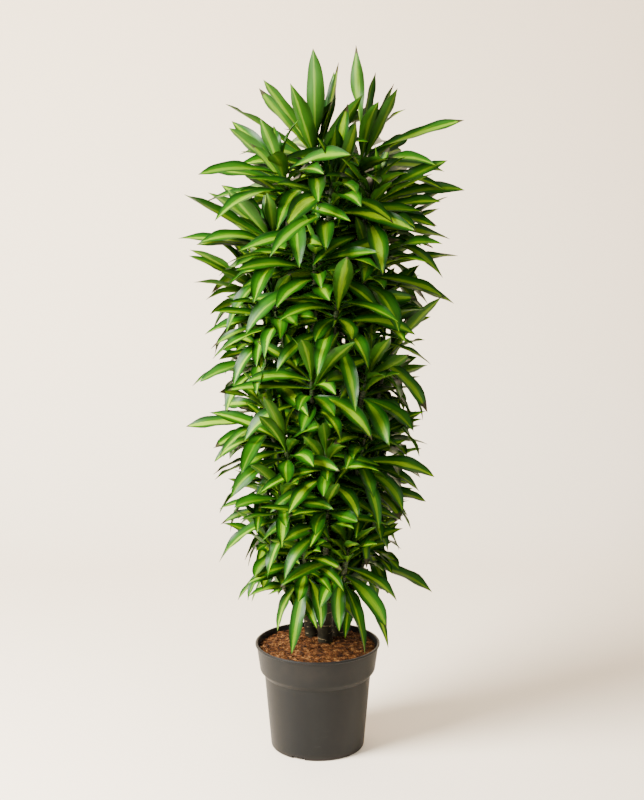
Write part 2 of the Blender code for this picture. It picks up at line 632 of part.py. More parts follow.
class Head:
    """A shoot with its leaves: the points and faces of one closed solid."""

    def __init__(self, name):
        cane, foot = HEADS[name]
        self.name = name
        self.foot = Vector(foot)
        self.random = random.Random(name)
        self.first_angle = self.random.uniform(0, 2 * math.pi)
        self.size = between(self.foot.z, (SMALLEST_LEAVES, LARGEST_LEAVES))
        self.points = []
        self.faces = {}
        self.leaf_faces = []
        self.grown = 0
        self.misses = 0
        self.grow_shoot(CANES[cane])

    def grow_shoot(self, cane):
        from_axis = level_direction(self.foot)
        reach = math.dist(self.foot.xy, cane_centre(cane, self.foot.z).xy)
        start_height = max(self.foot.z - SHOOT_RISE - SHOOT_SLANT * reach, LOWEST_SHOOT)
        start_height = min(start_height, cane["route"][2][2] - BELOW_CANE_TOP)
        root = cane_centre(cane, start_height)
        outward = level_direction(self.foot - root)
        start = root + outward * (cane_radius(cane, start_height) + SHOOT_GAP)
        knee = Vector((self.foot.x, self.foot.y, start.z + SHOOT_KNEE * (self.foot.z - start.z)))
        lean = (UP + SHOOT_LEAN * from_axis).normalized()
        centres = [bezier(start, knee, self.foot, i / SHOOT_BENDS) for i in range(SHOOT_BENDS)]
        radii = [SHOOT_RADIUS * (SHOOT_SWELL - SHOOT_THINNING * i) for i in range(SHOOT_BENDS)]
        for i in range(LEAFY_STEPS + 1):
            share = i / LEAFY_STEPS
            straightening = UP * SHOOT_STRAIGHTENING * share * share
            centres.append(self.foot + lean * LEAFY_LENGTH * share + straightening)
            radii.append(SHOOT_RADIUS * (1 - LEAFY_THINNING * share * share))
        self.first_leafy = SHOOT_BENDS
        top = centres[-1]
        centres.append(top + lean * SPEAR_FOOT)
        radii.append(SPEAR_RADIUS)
        rings = len(centres)
        across = outward.cross(UP)
        for i in range(rings):
            ahead = centres[min(i + 1, rings - 1)] - centres[max(i - 1, 0)]
            direction = outward if i == 0 else ahead.normalized()
            across = (across - direction * across.dot(direction)).normalized()
            over = direction.cross(across)
            for j in range(SHOOT_SIDES):
                angle = 2 * math.pi * j / SHOOT_SIDES
                self.points.append(centres[i] + radii[i] * (across * math.cos(angle) + over * math.sin(angle)))
        for i in range(rings - 1):
            for j in range(SHOOT_SIDES):
                low, high = i * SHOOT_SIDES, (i + 1) * SHOOT_SIDES
                k = (j + 1) % SHOOT_SIDES
                self.faces[i, j] = (low + j, low + k, high + k, high + j)
        self.faces["foot"] = tuple(reversed(range(SHOOT_SIDES)))
        self.points.append(top + (lean + 0.1 * UP).normalized() * SPEAR_LENGTH)
        last = (rings - 1) * SHOOT_SIDES
        for j in range(SHOOT_SIDES):
            self.faces["spear", j] = (last + j, last + (j + 1) % SHOOT_SIDES, len(self.points) - 1)

    def shoot(self):
        return self.points, list(self.faces.values())

    def root_face(self, key):
        corners = [self.points[i] for i in self.faces[key]]
        centre = sum(corners, Vector()) / 4
        normal = (corners[2] - corners[0]).cross(corners[3] - corners[1]).normalized()
        return corners, centre, normal

    def free_faces(self, step):
        """Shoot faces with no leaf yet, those nearest to a step of the leafy stretch first."""
        free = [
            (abs(i - step), (self.first_leafy + i, j))
            for i in range(LEAFY_STEPS)
            for j in range(SHOOT_SIDES)
            if (self.first_leafy + i, j) in self.faces
        ]
        nearest = min((far for far, _ in free), default=0)
        return [key for far, key in free if far <= nearest + 1]

    def best_face(self, step, direction):
        faces = self.free_faces(step)
        return max(faces, key=lambda key: self.root_face(key)[2].dot(direction), default=None)

    def add_blade(self, thicket, key, blade):
        """Grows the blade if it is clear of the thicket, and says whether it did."""
        corners, _, normal = self.root_face(key)
        if (blade.knee - blade.base).normalized().dot(normal) < LEAST_OPENING:
            return False
        outer, outer_faces = blade.outer_part()
        whole, whole_faces = blade.whole(corners)
        if not clear_of_pot(outer) or thicket.touched(outer, outer_faces):
            return False
        if thicket.touched(whole, whole_faces, skip=(self.name,)):
            return False
        thicket.add(self.name, whole, whole_faces)
        root = self.faces.pop(key)
        first = len(self.points)
        self.points += whole[4:]
        shifted = [first + i - 4 for i in range(len(whole))]
        shifted[:4] = root
        self.leaf_faces += [tuple(shifted[i] for i in face) for face in whole_faces]
        self.grown += 1
        return True

    def grow_leading_leaf(self, thicket, x, y, z, arch, width):
        tip = Vector((x, y, z))
        lowest, highest = LEADING_RISES
        run = tip - self.foot
        share = (run.z / run.length - lowest) / (highest - lowest)
        step = round(min(max(share, 0), 1) * (LEAFY_STEPS - 1))
        for attempt in range(TRIES):
            wander = TIP_WANDER * attempt
            shift = Vector([self.random.uniform(-wander, wander) for _ in range(3)])
            near = tip + shift
            run = near - self.foot
            towards = run / 2 + UP * (2 * arch * run.length + LEAFY_LENGTH / 3)
            key = self.best_face(step, towards)
            if key is None:
                return False
            _, base, normal = self.root_face(key)
            facing = self.random.uniform(*BLADE_FACING)
            run = near - base
            lift, least = LEADING_ARCH
            knee = base + run / 2 + UP * lift * (arch + least) * run.length + normal * LEADING_OPENING
            if self.add_blade(thicket, key, Blade(base, knee, near, width, facing, normal)):
                return True
        return False

    def grow_next_leaf(self, thicket):
        """The next leaf by rule: the youngest stand up, the oldest arch over and hang."""
        share = (self.grown + 0.5) / LEAF_COUNT
        age = 1 - share**AGEING
        rise, bend = (YOUNG_LEAF[i] + (OLD_LEAF[i] - YOUNG_LEAF[i]) * age for i in range(2))
        angle = self.first_angle + (self.grown + self.misses) * GOLDEN_ANGLE
        for attempt in range(TRIES):
            doubt = attempt / TRIES
            turn = angle + self.random.uniform(-1, 1) * math.pi * doubt
            up = rise + self.random.uniform(-RISE_SPREAD, RISE_SPREAD) * (0.5 + doubt)
            down = up - bend * self.random.uniform(*BEND_SPREAD)
            length = self.random.uniform(*LEAF_LENGTH) * self.size * (1 - SHORTENED * doubt)
            width = self.random.uniform(*LEAF_WIDTH) * self.size * (1 - NARROWED * doubt)
            level = Vector((math.cos(turn), math.sin(turn), 0))
            start = level * math.cos(up) + UP * math.sin(up)
            end = level * math.cos(down) + UP * math.sin(down)
            key = self.best_face(share * LEAFY_STEPS - 0.5, start)
            if key is None:
                return False
            _, base, normal = self.root_face(key)
            knee = base + start * length / 2
            tip = knee + end * length / 2
            if math.hypot(tip.x, tip.y) > outline_reach(tip.z):
                continue
            facing = self.random.uniform(*BLADE_FACING)
            if self.add_blade(thicket, key, Blade(base, knee, tip, width, facing, normal)):
                return True
        return False


def outline_reach(height):
    return between(height, OUTLINE)


def clear_of_pot(points):
    return all(
        p.z > POT_HEIGHT + POT_CLEARANCE or math.hypot(p.x, p.y) > RIM_RADIUS + POT_CLEARANCE for p in points
    )


def grow_heads(thicket):
    heads = {name: Head(name) for name in HEADS}
    for head in heads.values():
        points, faces = head.shoot()
        touched = thicket.touched(points, faces)
        if touched:
            raise RuntimeError(f"the shoot of {head.name} runs into {touched}")
        thicket.add(head.name, points, faces)
    for name, leaves in LEADING_LEAVES.items():
        for leaf in leaves:
            heads[name].grow_leading_leaf(thicket, *leaf)
    growing = list(heads.values())
    while growing:
        for head in growing:
            if not head.grow_next_leaf(thicket):
                head.misses += 1
        growing = [head for head in growing if head.grown < LEAF_COUNT and head.misses < MOST_MISSES]
    return heads


def main():
    for old in list(bpy.data.objects):
        bpy.data.objects.remove(old)
    make_pot(material("pot plastic", (0.050, 0.046, 0.044), 0.45))
    make_soil(material("potting soil", (0.060, 0.032, 0.018), 0.95))
    bark = material("cane bark", (0.16, 0.11, 0.06), 0.8)
    leaf = material("striped leaf", (0.11, 0.24, 0.03), 0.4)
    thicket = Thicket()
    for name, cane in CANES.items():
        thicket.add(name, *make_cane(name, cane, bark))
    for name, head in grow_heads(thicket).items():
        mesh = mesh_of(name, head.points, list(head.faces.values()) + head.leaf_faces)
        add_object("head_" + name, mesh, leaf)
    for piece in bpy.data.objects:
        piece.data.shade_smooth()
        piece.data.set_sharp_from_angle(angle=SMOOTH_ANGLE)


main()
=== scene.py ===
"""The looks of a potted corn plant: striped leaves on ringed shoots and canes, coir soil and a moulded pot.

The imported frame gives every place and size. A leaf of the frame is read from the few rings of points that it
is made of, and a finely shaped blade is grown along the same line.
"""

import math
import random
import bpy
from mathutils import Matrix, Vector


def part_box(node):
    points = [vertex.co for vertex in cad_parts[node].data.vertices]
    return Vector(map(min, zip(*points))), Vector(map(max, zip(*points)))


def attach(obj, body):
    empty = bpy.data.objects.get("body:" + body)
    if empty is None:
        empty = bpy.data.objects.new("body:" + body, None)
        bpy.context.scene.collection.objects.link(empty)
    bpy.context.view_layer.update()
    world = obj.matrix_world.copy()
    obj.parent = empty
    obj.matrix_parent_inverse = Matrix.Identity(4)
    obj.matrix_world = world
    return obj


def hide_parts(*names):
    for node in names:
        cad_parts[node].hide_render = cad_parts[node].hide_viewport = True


bl_info = {
    "name": "Potted Corn Plant",
    "version": (1, 0, 0),
    "blender": (4, 5, 0),
    "location": "View3D > Sidebar > Corn Plant",
    "description": "Leaves, shoots, canes, soil and pot of a striped corn plant",
    "category": "Object",
}

from dataclasses import dataclass

import bmesh
import bpy
from bpy.props import FloatProperty, FloatVectorProperty, IntProperty, PointerProperty
from mathutils import Matrix, Vector
from mathutils import noise as mathutils_noise

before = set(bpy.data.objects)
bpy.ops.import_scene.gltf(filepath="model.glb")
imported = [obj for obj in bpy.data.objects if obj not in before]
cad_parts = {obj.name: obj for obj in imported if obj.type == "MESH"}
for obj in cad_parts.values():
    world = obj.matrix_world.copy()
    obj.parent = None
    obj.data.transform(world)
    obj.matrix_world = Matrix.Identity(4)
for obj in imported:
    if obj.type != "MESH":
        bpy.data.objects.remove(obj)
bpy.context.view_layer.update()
BODY = "root"
UP = Vector((0, 0, 1))
GOLDEN_ANGLE = math.radians(137.508)
MERGE = 2e-6
SMOOTH_ANGLE = math.radians(32)
SOIL_SMOOTH_ANGLE = math.radians(60)

# How the frame's own leaves, shoots and canes are made of rings of points
HEAD_NODES = sorted(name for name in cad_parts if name.startswith("head_"))
CANE_NODES = sorted(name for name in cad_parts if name.startswith("cane_"))
BLADE_STATIONS = (0.28, 0.66)  # where along a leaf the frame has its two rings
STATION_WIDTH = 0.88  # of the full width, at the outer ring
SHOOT_SIDES, LEAFY_RINGS = 5, 7
CANE_SIDES, CANE_RING_HEIGHT = 10, 0.02  # points this close in height are one ring

# The plant
LEAF_OUTLINE = (  # share of the length, share of the full width
    (0.00, 0.30), (0.08, 0.32), (0.22, 0.62), (0.38, 0.90), (0.54, 1.02), (0.69, 0.93),
    (0.82, 0.66), (0.91, 0.36), (0.965, 0.15), (1.00, 0.02),
)
LEAF_SECTION_POINTS = 8
TWIST_SPREAD = 0.42
ROLLED_WIDTH = 0.030
YOUNG_LEAVES, YOUNG_REACH, YOUNG_WIDTH = 3, (0.075, 0.115), (0.020, 0.028)
INNER_REACH, INNER_WIDTH = (0.10, 0.19), (0.026, 0.038)
INNER_TURN, INNER_RISE, INNER_HANG = (-1.6, 1.6), (-1.1, 0.6), (0.0, 0.8)
PLANT_AXIS = (0.010, 0.045)
LOWEST_TIP = 0.300
BARK_SIDES, BARK_LUMPS = 22, 0.0022  # faces round a cane, and how far its bark is uneven
SKIN_SIDES, SKIN_LUMPS = 9, 0.0006  # the same for a shoot
SHOOT_RING_SHARE = 0.7  # of the height of a cane's rings
SHOOT_SINK, SHOOT_END_RADIUS = 0.012, 0.003

# The pot: how far in from its rim the collar and the body are at their top and foot, and their heights
POT_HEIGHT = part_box("pot")[1].z
RIM_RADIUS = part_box("pot")[1].x
COLLAR_INSETS = (0.0035, 0.0120)
BODY_INSETS = (0.0230, 0.0390)
COLLAR_HEIGHT, BODY_HEIGHT, BEAD_HEIGHT = 0.200, 0.187, 0.006
CHANNEL = (0.045, 0.092)  # inner and outer radius of the drained ring under the base
CHANNEL_HEIGHT, CHANNEL_SLOPE = 0.005, 0.003
DRAIN_HOLES, DRAIN_HOLE_RADIUS, DRAIN_CIRCLE = 6, 0.007, 0.0685
NOTCHES, FIRST_NOTCH, NOTCH_CIRCLE = 3, math.radians(245.5), 0.11125
NOTCH_SIZE = (0.0305, 0.034, 0.014)
DRILL_SIDES, DRILL_LENGTH = 20, 0.03
POT_SEGMENTS, ROUNDING_STEPS = 160, 4
MOST_ROUNDED = 0.49  # of the edge on either side of a corner

# The soil: its bed lies a little under the frame's soil, to leave room for the crumbs and fibres
SOIL_RADIUS, _, SOIL_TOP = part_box("soil")[1]
BED_RINGS, BED_SEGMENTS = 34, 120
BED_GAP, BED_SINK, BED_MOUND, BED_DEPTH, BED_TAPER = 0.0006, 0.0040, 0.0045, 0.030, 0.006
LUMP_SCALE, SOIL_SEED = 55, 5
CRUMB_MARGIN, FIBRE_MARGIN = 0.0045, 0.010  # kept free at the pot's wall

# The stage
STAGE_HALF_WIDTH, STAGE_FRONT, STAGE_BACK, STAGE_TOP = 4.5, -4.5, 1.5, 4.2
STAGE_BEND, STAGE_BEND_STEPS = 0.7, 12
LAMPS = (  # name, place, aim, size, share of the window's power
    ("window", (-2.5, -1.5, 2.5), (0, 0, 0.8), 1.9, 1.0),
    ("fill", (1.6, -3.0, 2.2), (0, 0, 0.9), 2.2, 0.05),
)
LAMP_TINT = (1.0, 0.965, 0.91)
ROOM_TINT = (1.0, 0.955, 0.89, 1.0)
CAMERA_PLACE, CAMERA_DROP = (0.011, -3.6, 1.535), 10.3
CAMERA_LENS, CAMERA_SENSOR = 67.9, 36


# ---- Settings that a user would change ----


def colour(name, description, default):
    return FloatVectorProperty(
        name=name, description=description, default=default, size=3, subtype="COLOR", min=0, max=1
    )


def length(name, description, default):
    return FloatProperty(
        name=name, description=description, default=default, unit="LENGTH", subtype="DISTANCE", min=0,
        precision=4,
    )


def share(name, description, default, high=1.0):
    return FloatProperty(name=name, description=description, default=default, min=0.0, max=high)


def count(name, description, default, most, least=0):
    return IntProperty(name=name, description=description, default=default, min=least, max=most)


class LeafSettings(bpy.types.PropertyGroup):
    stripe: colour("Stripe", "Lime stripe along the middle of a leaf", (0.205, 0.345, 0.003))
    flank: colour("Flank", "Mid green beside the stripe", (0.0130, 0.070, 0.0018))
    margin: colour("Margin", "Dark green towards a leaf's edges", (0.0020, 0.026, 0.0006))
    underside: colour("Underside", "Paler green of a leaf's underside", (0.021, 0.070, 0.004))
    rib: colour("Rib", "Pale rib along the underside", (0.095, 0.160, 0.020))
    dry: colour("Dry tip", "Brown of dried tips and edges", (0.022, 0.014, 0.010))
    thickness: length("Thickness", "Thickness of a leaf at its midrib", 0.0007)
    fold: share("Fold", "How far the edges stand up from the midrib, as a share of half the width", 0.20)
    wave: length("Wave", "Height of the waves along a leaf's edges", 0.0022)
    waves: share("Waves", "Waves along one leaf", 2.6, high=12)
    inner: count("Inner leaves", "Shaded leaves low on each shoot", 14, 40)
    segments: count("Segments", "Segments along one leaf", 14, 60, least=4)


class StemSettings(bpy.types.PropertyGroup):
    bark: colour("Bark", "Brown-green bark between the leaf scars", (0.0080, 0.0066, 0.0030))
    lichen: colour("Lichen", "Greyer patches of the bark", (0.022, 0.019, 0.009))
    scar: colour("Scar", "Pale rings that fallen leaves left", (0.210, 0.165, 0.090))
    green: colour("Green", "Skin of a young shoot", (0.012, 0.036, 0.004))
    wood: colour("Wood", "Dried wood of a cut cane", (0.10, 0.045, 0.022))
    cane_ring: length("Cane ring spacing", "Distance between leaf scars on a cane", 0.0185)
    shoot_ring: length("Shoot ring spacing", "Distance between leaf scars on a shoot", 0.0065)
    ring_height: length("Ring height", "How far a leaf scar stands out", 0.0007)


class SoilSettings(bpy.types.PropertyGroup):
    dark: colour("Peat", "Dark peat between the crumbs", (0.0100, 0.0036, 0.0013))
    coir: colour("Coir", "Red-brown coir crumbs and fibres", (0.105, 0.036, 0.0085))
    straw: colour("Straw", "The palest crumbs and fibres", (0.30, 0.155, 0.055))
    crumbs: count("Crumbs", "Crumbs on the surface", 7000, 20000)
    fibres: count("Fibres", "Fibres on the surface", 4200, 10000)
    crumb: length("Crumb size", "Radius of the largest crumbs", 0.0034)
    fibre: length("Fibre length", "Length of the longest fibres", 0.017)
    roughness: length("Unevenness", "Height of the bumps in the surface", 0.0055)


class PotSettings(bpy.types.PropertyGroup):
    plastic: colour("Plastic", "Dark grey of the pot", (0.0070, 0.0076, 0.0080))
    dust: colour("Dust", "Soil dust on the pot", (0.06, 0.042, 0.028))
    scuff: colour("Scuff", "Pale scuffs low down", (0.07, 0.066, 0.062))
    sheen: share("Roughness", "Roughness of the moulded surface", 0.47)
    wall: length("Wall", "Wall thickness", 0.0024)


class StageSettings(bpy.types.PropertyGroup):
    floor: colour("Floor", "Pale floor", (0.93, 0.825, 0.68))
    # The wall colour is painted shade: higher up, the backdrop blends to it and turns darker and warmer
    wall: colour("Wall", "Slightly darker, warmer paint up the backdrop", (0.84, 0.70, 0.53))
    window: share("Window", "Power of the soft light from the left, in watts", 780.0, high=5000)
    room: share("Room", "Strength of the even light from all round", 0.80, high=3)


SETTINGS = {
    "leaf": LeafSettings,
    "stem": StemSettings,
    "soil": SoilSettings,
    "pot": PotSettings,
    "stage": StageSettings,
}


# ---- Node trees written as sums ----


class Term:
    """A socket of a node tree that takes part in sums, so that a rule reads as it would on paper."""

    def __init__(self, tree, socket):
        self.tree = tree
        self.socket = socket

    def is_vector(self):
        return self.socket.type == "VECTOR"

    def made(self, kind, operation, *values):
        node = self.tree.nodes.new(kind)
        node.operation = operation
        for socket, value in zip(node.inputs, (self, *values)):
            feed(self.tree, socket, value)
        return Term(self.tree, node.outputs[0])

    def math(self, operation, *values):
        return self.made("ShaderNodeMath", operation, *values)

    def vector(self, operation, *values):
        return self.made("ShaderNodeVectorMath", operation, *values)

    def both(self, operation, other):
        of_vectors = self.is_vector() or (isinstance(other, Term) and other.is_vector())
        return self.vector(operation, other) if of_vectors else self.math(operation, other)

    def __add__(self, other):
        return self.both("ADD", other)

    def __sub__(self, other):
        return self.both("SUBTRACT", other)

    def __rsub__(self, other):
        return self.math("MULTIPLY", -1.0).math("ADD", other)

    def __mul__(self, other):
        is_number = isinstance(other, (int, float)) or (isinstance(other, Term) and not other.is_vector())
        if self.is_vector() and is_number:
            return add(self.tree, "ShaderNodeVectorMath", operation="SCALE", Vector=self, Scale=other)
        return self.both("MULTIPLY", other)

    def __truediv__(self, other):
        return self.math("DIVIDE", other)

    def __pow__(self, other):
        return self.math("POWER", other)

    __radd__ = __add__
    __rmul__ = __mul__

    def cross(self, other):
        return self.vector("CROSS_PRODUCT", other)

    def normalised(self):
        return self.vector("NORMALIZE")

    def sine(self):
        return self.math("SINE")

    def cosine(self):
        return self.math("COSINE")

    def size(self):
        return self.math("ABSOLUTE")

    def above(self, limit):
        return self.math("GREATER_THAN", limit)

    def clamped(self):
        limited = self.math("ADD", 0.0)
        limited.socket.node.use_clamp = True
        return limited

    def ramp(self, low, high):
        """0 below low, 1 above high, and a smooth rise between them."""
        limits = {"From_Min": low, "From_Max": high}
        return add(self.tree, "ShaderNodeMapRange", interpolation_type="SMOOTHSTEP", Value=self, **limits)

    def noise(self, scale, detail=3.0, roughness=0.55):
        return add(
            self.tree, "ShaderNodeTexNoise", Vector=self, Scale=scale, Detail=detail, Roughness=roughness
        )

    def split(self):
        return outputs_of(add(self.tree, "ShaderNodeSeparateXYZ", Vector=self)).values()


def feed(tree, socket, value):
    """Links a term into a socket, or sets the socket's own value."""
    if isinstance(value, Term):
        tree.links.new(value.socket, socket)
    elif socket.type == "RGBA":
        socket.default_value = (*value[:3], 1.0)
    elif socket.type == "VECTOR" and isinstance(value, (int, float)):
        socket.default_value = (value,) * 3
    else:
        socket.default_value = value


def add(tree, kind, out=0, **values):
    """A new node, as the term of one output. A name with a capital is an input's, any other a setting's.

    A kind that is given without its prefix is one of the tree's own: of geometry or of shading.
    """
    own = tree.bl_idname.removesuffix("Tree")
    node = tree.nodes.new(kind if "Node" in kind else own + kind)
    for name, value in values.items():
        if name.islower():
            setattr(node, name, value)
    for name, value in values.items():
        if not name.islower():
            feed(tree, node.inputs[name.replace("_", " ")], value)
    return Term(tree, node.outputs[out])


def outputs_of(term):
    """Every output of a term's node, by name."""
    return {socket.name: Term(term.tree, socket) for socket in term.socket.node.outputs if socket.name}


def vector_of(*parts):
    tree = next(part.tree for part in parts if isinstance(part, Term))
    return add(tree, "ShaderNodeCombineXYZ", **dict(zip("XYZ", parts)))


def blended(amount, first, second):
    """first where the amount is 0, second where it is 1."""
    tree = (amount if isinstance(amount, Term) else first).tree
    mix = add(tree, "ShaderNodeMix", 2, data_type="RGBA")
    for index, value in ((0, amount), (6, first), (7, second)):
        feed(tree, mix.socket.node.inputs[index], value)
    return mix


def group_tree(name, kind, inputs, outputs):
    """An empty node group with inputs {name: (socket type, default value)} and named outputs."""
    tree = bpy.data.node_groups.new(name, kind)
    for label, (socket_type, default) in inputs.items():
        socket = tree.interface.new_socket(label, in_out="INPUT", socket_type="NodeSocket" + socket_type)
        if default is not None:
            socket.default_value = default
    for label in outputs:
        socket_type = "NodeSocket" + ("Geometry" if label == "Geometry" else "Float")
        tree.interface.new_socket(label, in_out="OUTPUT", socket_type=socket_type)
    given = outputs_of(add(tree, "NodeGroupInput"))
    return tree, given, tree.nodes.new("NodeGroupOutput")


def shared(name, make):
    """A node group or tree that is built once and used again."""
    return bpy.data.node_groups.get(name) or make()


# ---- Geometry node helpers ----


def mesh_tree(name, **numbers):
    """A tree that shapes a mesh, with sockets for named numbers and for the finish."""
    inputs = {"Geometry": ("Geometry", None)}
    for label, value in numbers.items():
        inputs[label.replace("_", " ")] = ("Int" if isinstance(value, int) else "Float", value)
    inputs["Material"] = ("Material", None)
    return group_tree(name, "GeometryNodeTree", inputs, ["Geometry"])


def end_tree(geometry, given, sink):
    """Ends a tree: instances made real, and the finish given to every face."""
    real = add(geometry.tree, "RealizeInstances", Geometry=geometry)
    made = add(real.tree, "SetMaterial", Geometry=real, Material=given["Material"])
    feed(made.tree, sink.inputs["Geometry"], made)
    return made.tree


def named(tree, name, data_type="FLOAT"):
    return add(tree, "InputNamedAttribute", Name=name, data_type=data_type)


def store(geometry, name, value, **settings):
    kind = "StoreNamedAttribute"
    return add(geometry.tree, kind, Geometry=geometry, Name=name, Value=value, **settings)


def smooth(geometry, domain="FACE", **inputs):
    return add(geometry.tree, "SetShadeSmooth", Geometry=geometry, domain=domain, **inputs)


def random_number(low, high, seed, channel):
    """A random number for each point or face, different on each channel."""
    channels = seed * 1.0 + float(channel)
    number = add(seed.tree, "FunctionNodeRandomValue", 1, data_type="FLOAT", Seed=channels)
    sockets = number.socket.node.inputs
    sockets[2].default_value, sockets[3].default_value = low, high
    return number


def grown(name, mesh, tree, finish, **values):
    """The plain mesh object that a tree makes from a mesh."""
    carrier = add_object(name, mesh)
    modifier = carrier.modifiers.new(tree.name, "NODES")
    modifier.node_group = tree
    values = {key.replace("_", " "): value for key, value in values.items()}
    values["Material"] = finish
    for item in tree.interface.items_tree:
        if item.in_out == "INPUT" and item.name in values:
            modifier[item.identifier] = values.pop(item.name)
    if values:
        raise ValueError(f"{tree.name} has no input named {sorted(values)}")
    evaluate(carrier)
    if not carrier.data.polygons:
        raise RuntimeError(f"{name} came out empty")
    bpy.data.meshes.remove(mesh)
    return carrier


def evaluate(piece):
    """Gives a piece the mesh that its modifiers make, in place of the modifiers."""
    graph = bpy.context.evaluated_depsgraph_get()
    result = bpy.data.meshes.new_from_object(
        piece.evaluated_get(graph), preserve_all_data_layers=True, depsgraph=graph
    )
    piece.modifiers.clear()
    piece.data = result


def drop_helpers(piece, *kept):
    """Removes the attributes that only shaped the piece."""
    attributes = piece.data.attributes
    kept = {*kept, "position", "UVMap", "sharp_edge", "sharp_face", "material_index"}
    for name in [a.name for a in attributes if not (a.name in kept or a.name.startswith("."))]:
        attributes.remove(attributes[name])


def points_mesh(name, points, edges, attributes):
    """Points and edges with numbers and vectors on each point."""
    mesh = bpy.data.meshes.new(name)
    mesh.from_pydata(points, edges, [])
    for label, values in attributes.items():
        is_vector = isinstance(values[0], Vector)
        layer = mesh.attributes.new(label, "FLOAT_VECTOR" if is_vector else "FLOAT", "POINT")
        flat = [part for value in values for part in value] if is_vector else values
        layer.data.foreach_set("vector" if is_vector else "value", flat)
    return mesh


# ---- Objects and meshes ----


def add_object(name, mesh, finish=None):
    piece = bpy.data.objects.new(name, mesh)
    bpy.context.scene.collection.objects.link(piece)
    if finish:
        mesh.materials.append(finish)
    return piece


def take_place(piece, slot, *nodes):
    """The piece moves with the plant and stands for these nodes of the frame."""
    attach(piece, BODY)
    if nodes:
        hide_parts(*nodes)


def mesh_from(shape, name):
    """The mesh of a shape that is needed no longer."""
    mesh = bpy.data.meshes.new(name)
    shape.to_mesh(mesh)
    shape.free()
    return mesh


def turns(number):
    """The angles that divide a full turn."""
    return [2 * math.pi * k / number for k in range(number)]


def round_point(radius, angle, height=0.0):
    """A point at a distance and an angle from the vertical axis."""
    return Vector((radius * math.cos(angle), radius * math.sin(angle), height))


def closed_rings(name, first, rings, last):
    """A closed shape over rings of points, with a point at either end."""
    shape = bmesh.new()
    first = shape.verts.new(first)
    rings = [[shape.verts.new(point) for point in ring] for ring in rings]
    last = shape.verts.new(last)
    segments = len(rings[0])
    for k in range(segments):
        n = (k + 1) % segments
        shape.faces.new((first, rings[0][k], rings[0][n]))
        shape.faces.new((last, rings[-1][n], rings[-1][k]))
        for inner, outer in zip(rings, rings[1:]):
            shape.faces.new((inner[k], outer[k], outer[n], inner[n]))
    bmesh.ops.recalc_face_normals(shape, faces=shape.faces)
    return mesh_from(shape, name)


def shade_smooth(piece, angle):
    """Smooth faces, with an edge kept sharp where two faces meet at more than the angle."""
    shape = bmesh.new()
    shape.from_mesh(piece.data)
    for face in shape.faces:
        face.smooth = True
    for edge in shape.edges:
        edge.smooth = len(edge.link_faces) == 2 and edge.calc_face_angle(0) < angle
    shape.to_mesh(piece.data)
    shape.free()


# ---- Reading the frame ----


def joined(node):
    """The frame's node with its loose triangles sharing their corners."""
    shape = bmesh.new()
    shape.from_mesh(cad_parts[node].data)
    bmesh.ops.remove_doubles(shape, verts=shape.verts, dist=MERGE)
    return shape


def neighbours(point):
    return {edge.other_vert(point) for edge in point.link_edges}


def middle(points):
    return sum((point.co for point in points), Vector()) / len(points)


def centre_line(rings):
    """The middle and the radius of each ring of points."""
    line = [middle(ring) for ring in rings]
    return line, [max((point.co - centre).length for point in ring) for ring, centre in zip(rings, line)]


@dataclass
class LeafLine:
    """One leaf's curve, from its base over its knee to its tip, and which way it faces."""

    base: Vector
    knee: Vector
    tip: Vector
    side_low: Vector
    side_high: Vector
    width: float
    age: float = 0.5
    curl: float = 0.0
    twist: float = 0.0

    def length(self):
        reach = (self.tip - self.base).length
        return ((self.knee - self.base).length + (self.tip - self.knee).length + reach) / 2


def leaf_points(tip):
    """A leaf's outer ring, inner ring and root, or nothing where the point isn't a leaf's tip."""
    around = neighbours(tip)
    edges = [point for point in around if len(point.link_edges) == 4]
    mids = [point for point in around if len(point.link_edges) == 6]
    if len(tip.link_edges) != 4 or len(edges) != 2 or len(mids) != 2:
        return None
    low_edges = [(neighbours(edge) - {tip, *mids}).pop() for edge in edges]
    low_mids = [(neighbours(mid) - {tip, *edges, *low_edges}).pop() for mid in mids]
    roots = [(neighbours(edge) - {*edges, *mids, *low_mids}).pop() for edge in low_edges]
    roots += [(neighbours(mid) - {*mids, *low_edges, *roots}).pop() for mid in low_mids]
    return edges, mids, low_edges, low_mids, roots


def traced_leaf(tip, edges, mids, low_edges, low_mids, roots):
    across = edges[0].co - edges[1].co
    if (middle(edges) - mids[0].co).length > (middle(edges) - mids[1].co).length:
        mids = mids[::-1]
    top, under = mids
    along = tip.co - middle(low_edges)
    sign = 1 if across.cross(along).dot(top.co - under.co) > 0 else -1
    low_across = low_edges[0].co - low_edges[1].co
    base = middle(roots)
    t = BLADE_STATIONS[1]
    knee = (middle(mids) - base * (1 - t) ** 2 - tip.co * t * t) / (2 * t * (1 - t))
    sides = sign * low_across.normalized(), sign * across.normalized()
    return LeafLine(base, knee, tip.co.copy(), *sides, across.length / STATION_WIDTH)


def shoot_rings(shape, blades):
    """The rings of points of a shoot, from the tip of its spear down to its foot."""
    stem = set(shape.verts) - blades
    for tip in stem:
        if len(tip.link_edges) != SHOOT_SIDES:
            continue
        rings, seen = [{tip}], {tip}
        while rings[-1]:
            found = {near for point in rings[-1] for near in neighbours(point) if near in stem} - seen
            seen |= found
            rings.append(found)
        if all(len(ring) == SHOOT_SIDES for ring in rings[1:-1]) and len(seen) == len(stem):
            return rings[:-1]
    raise RuntimeError("a shoot has no spear")


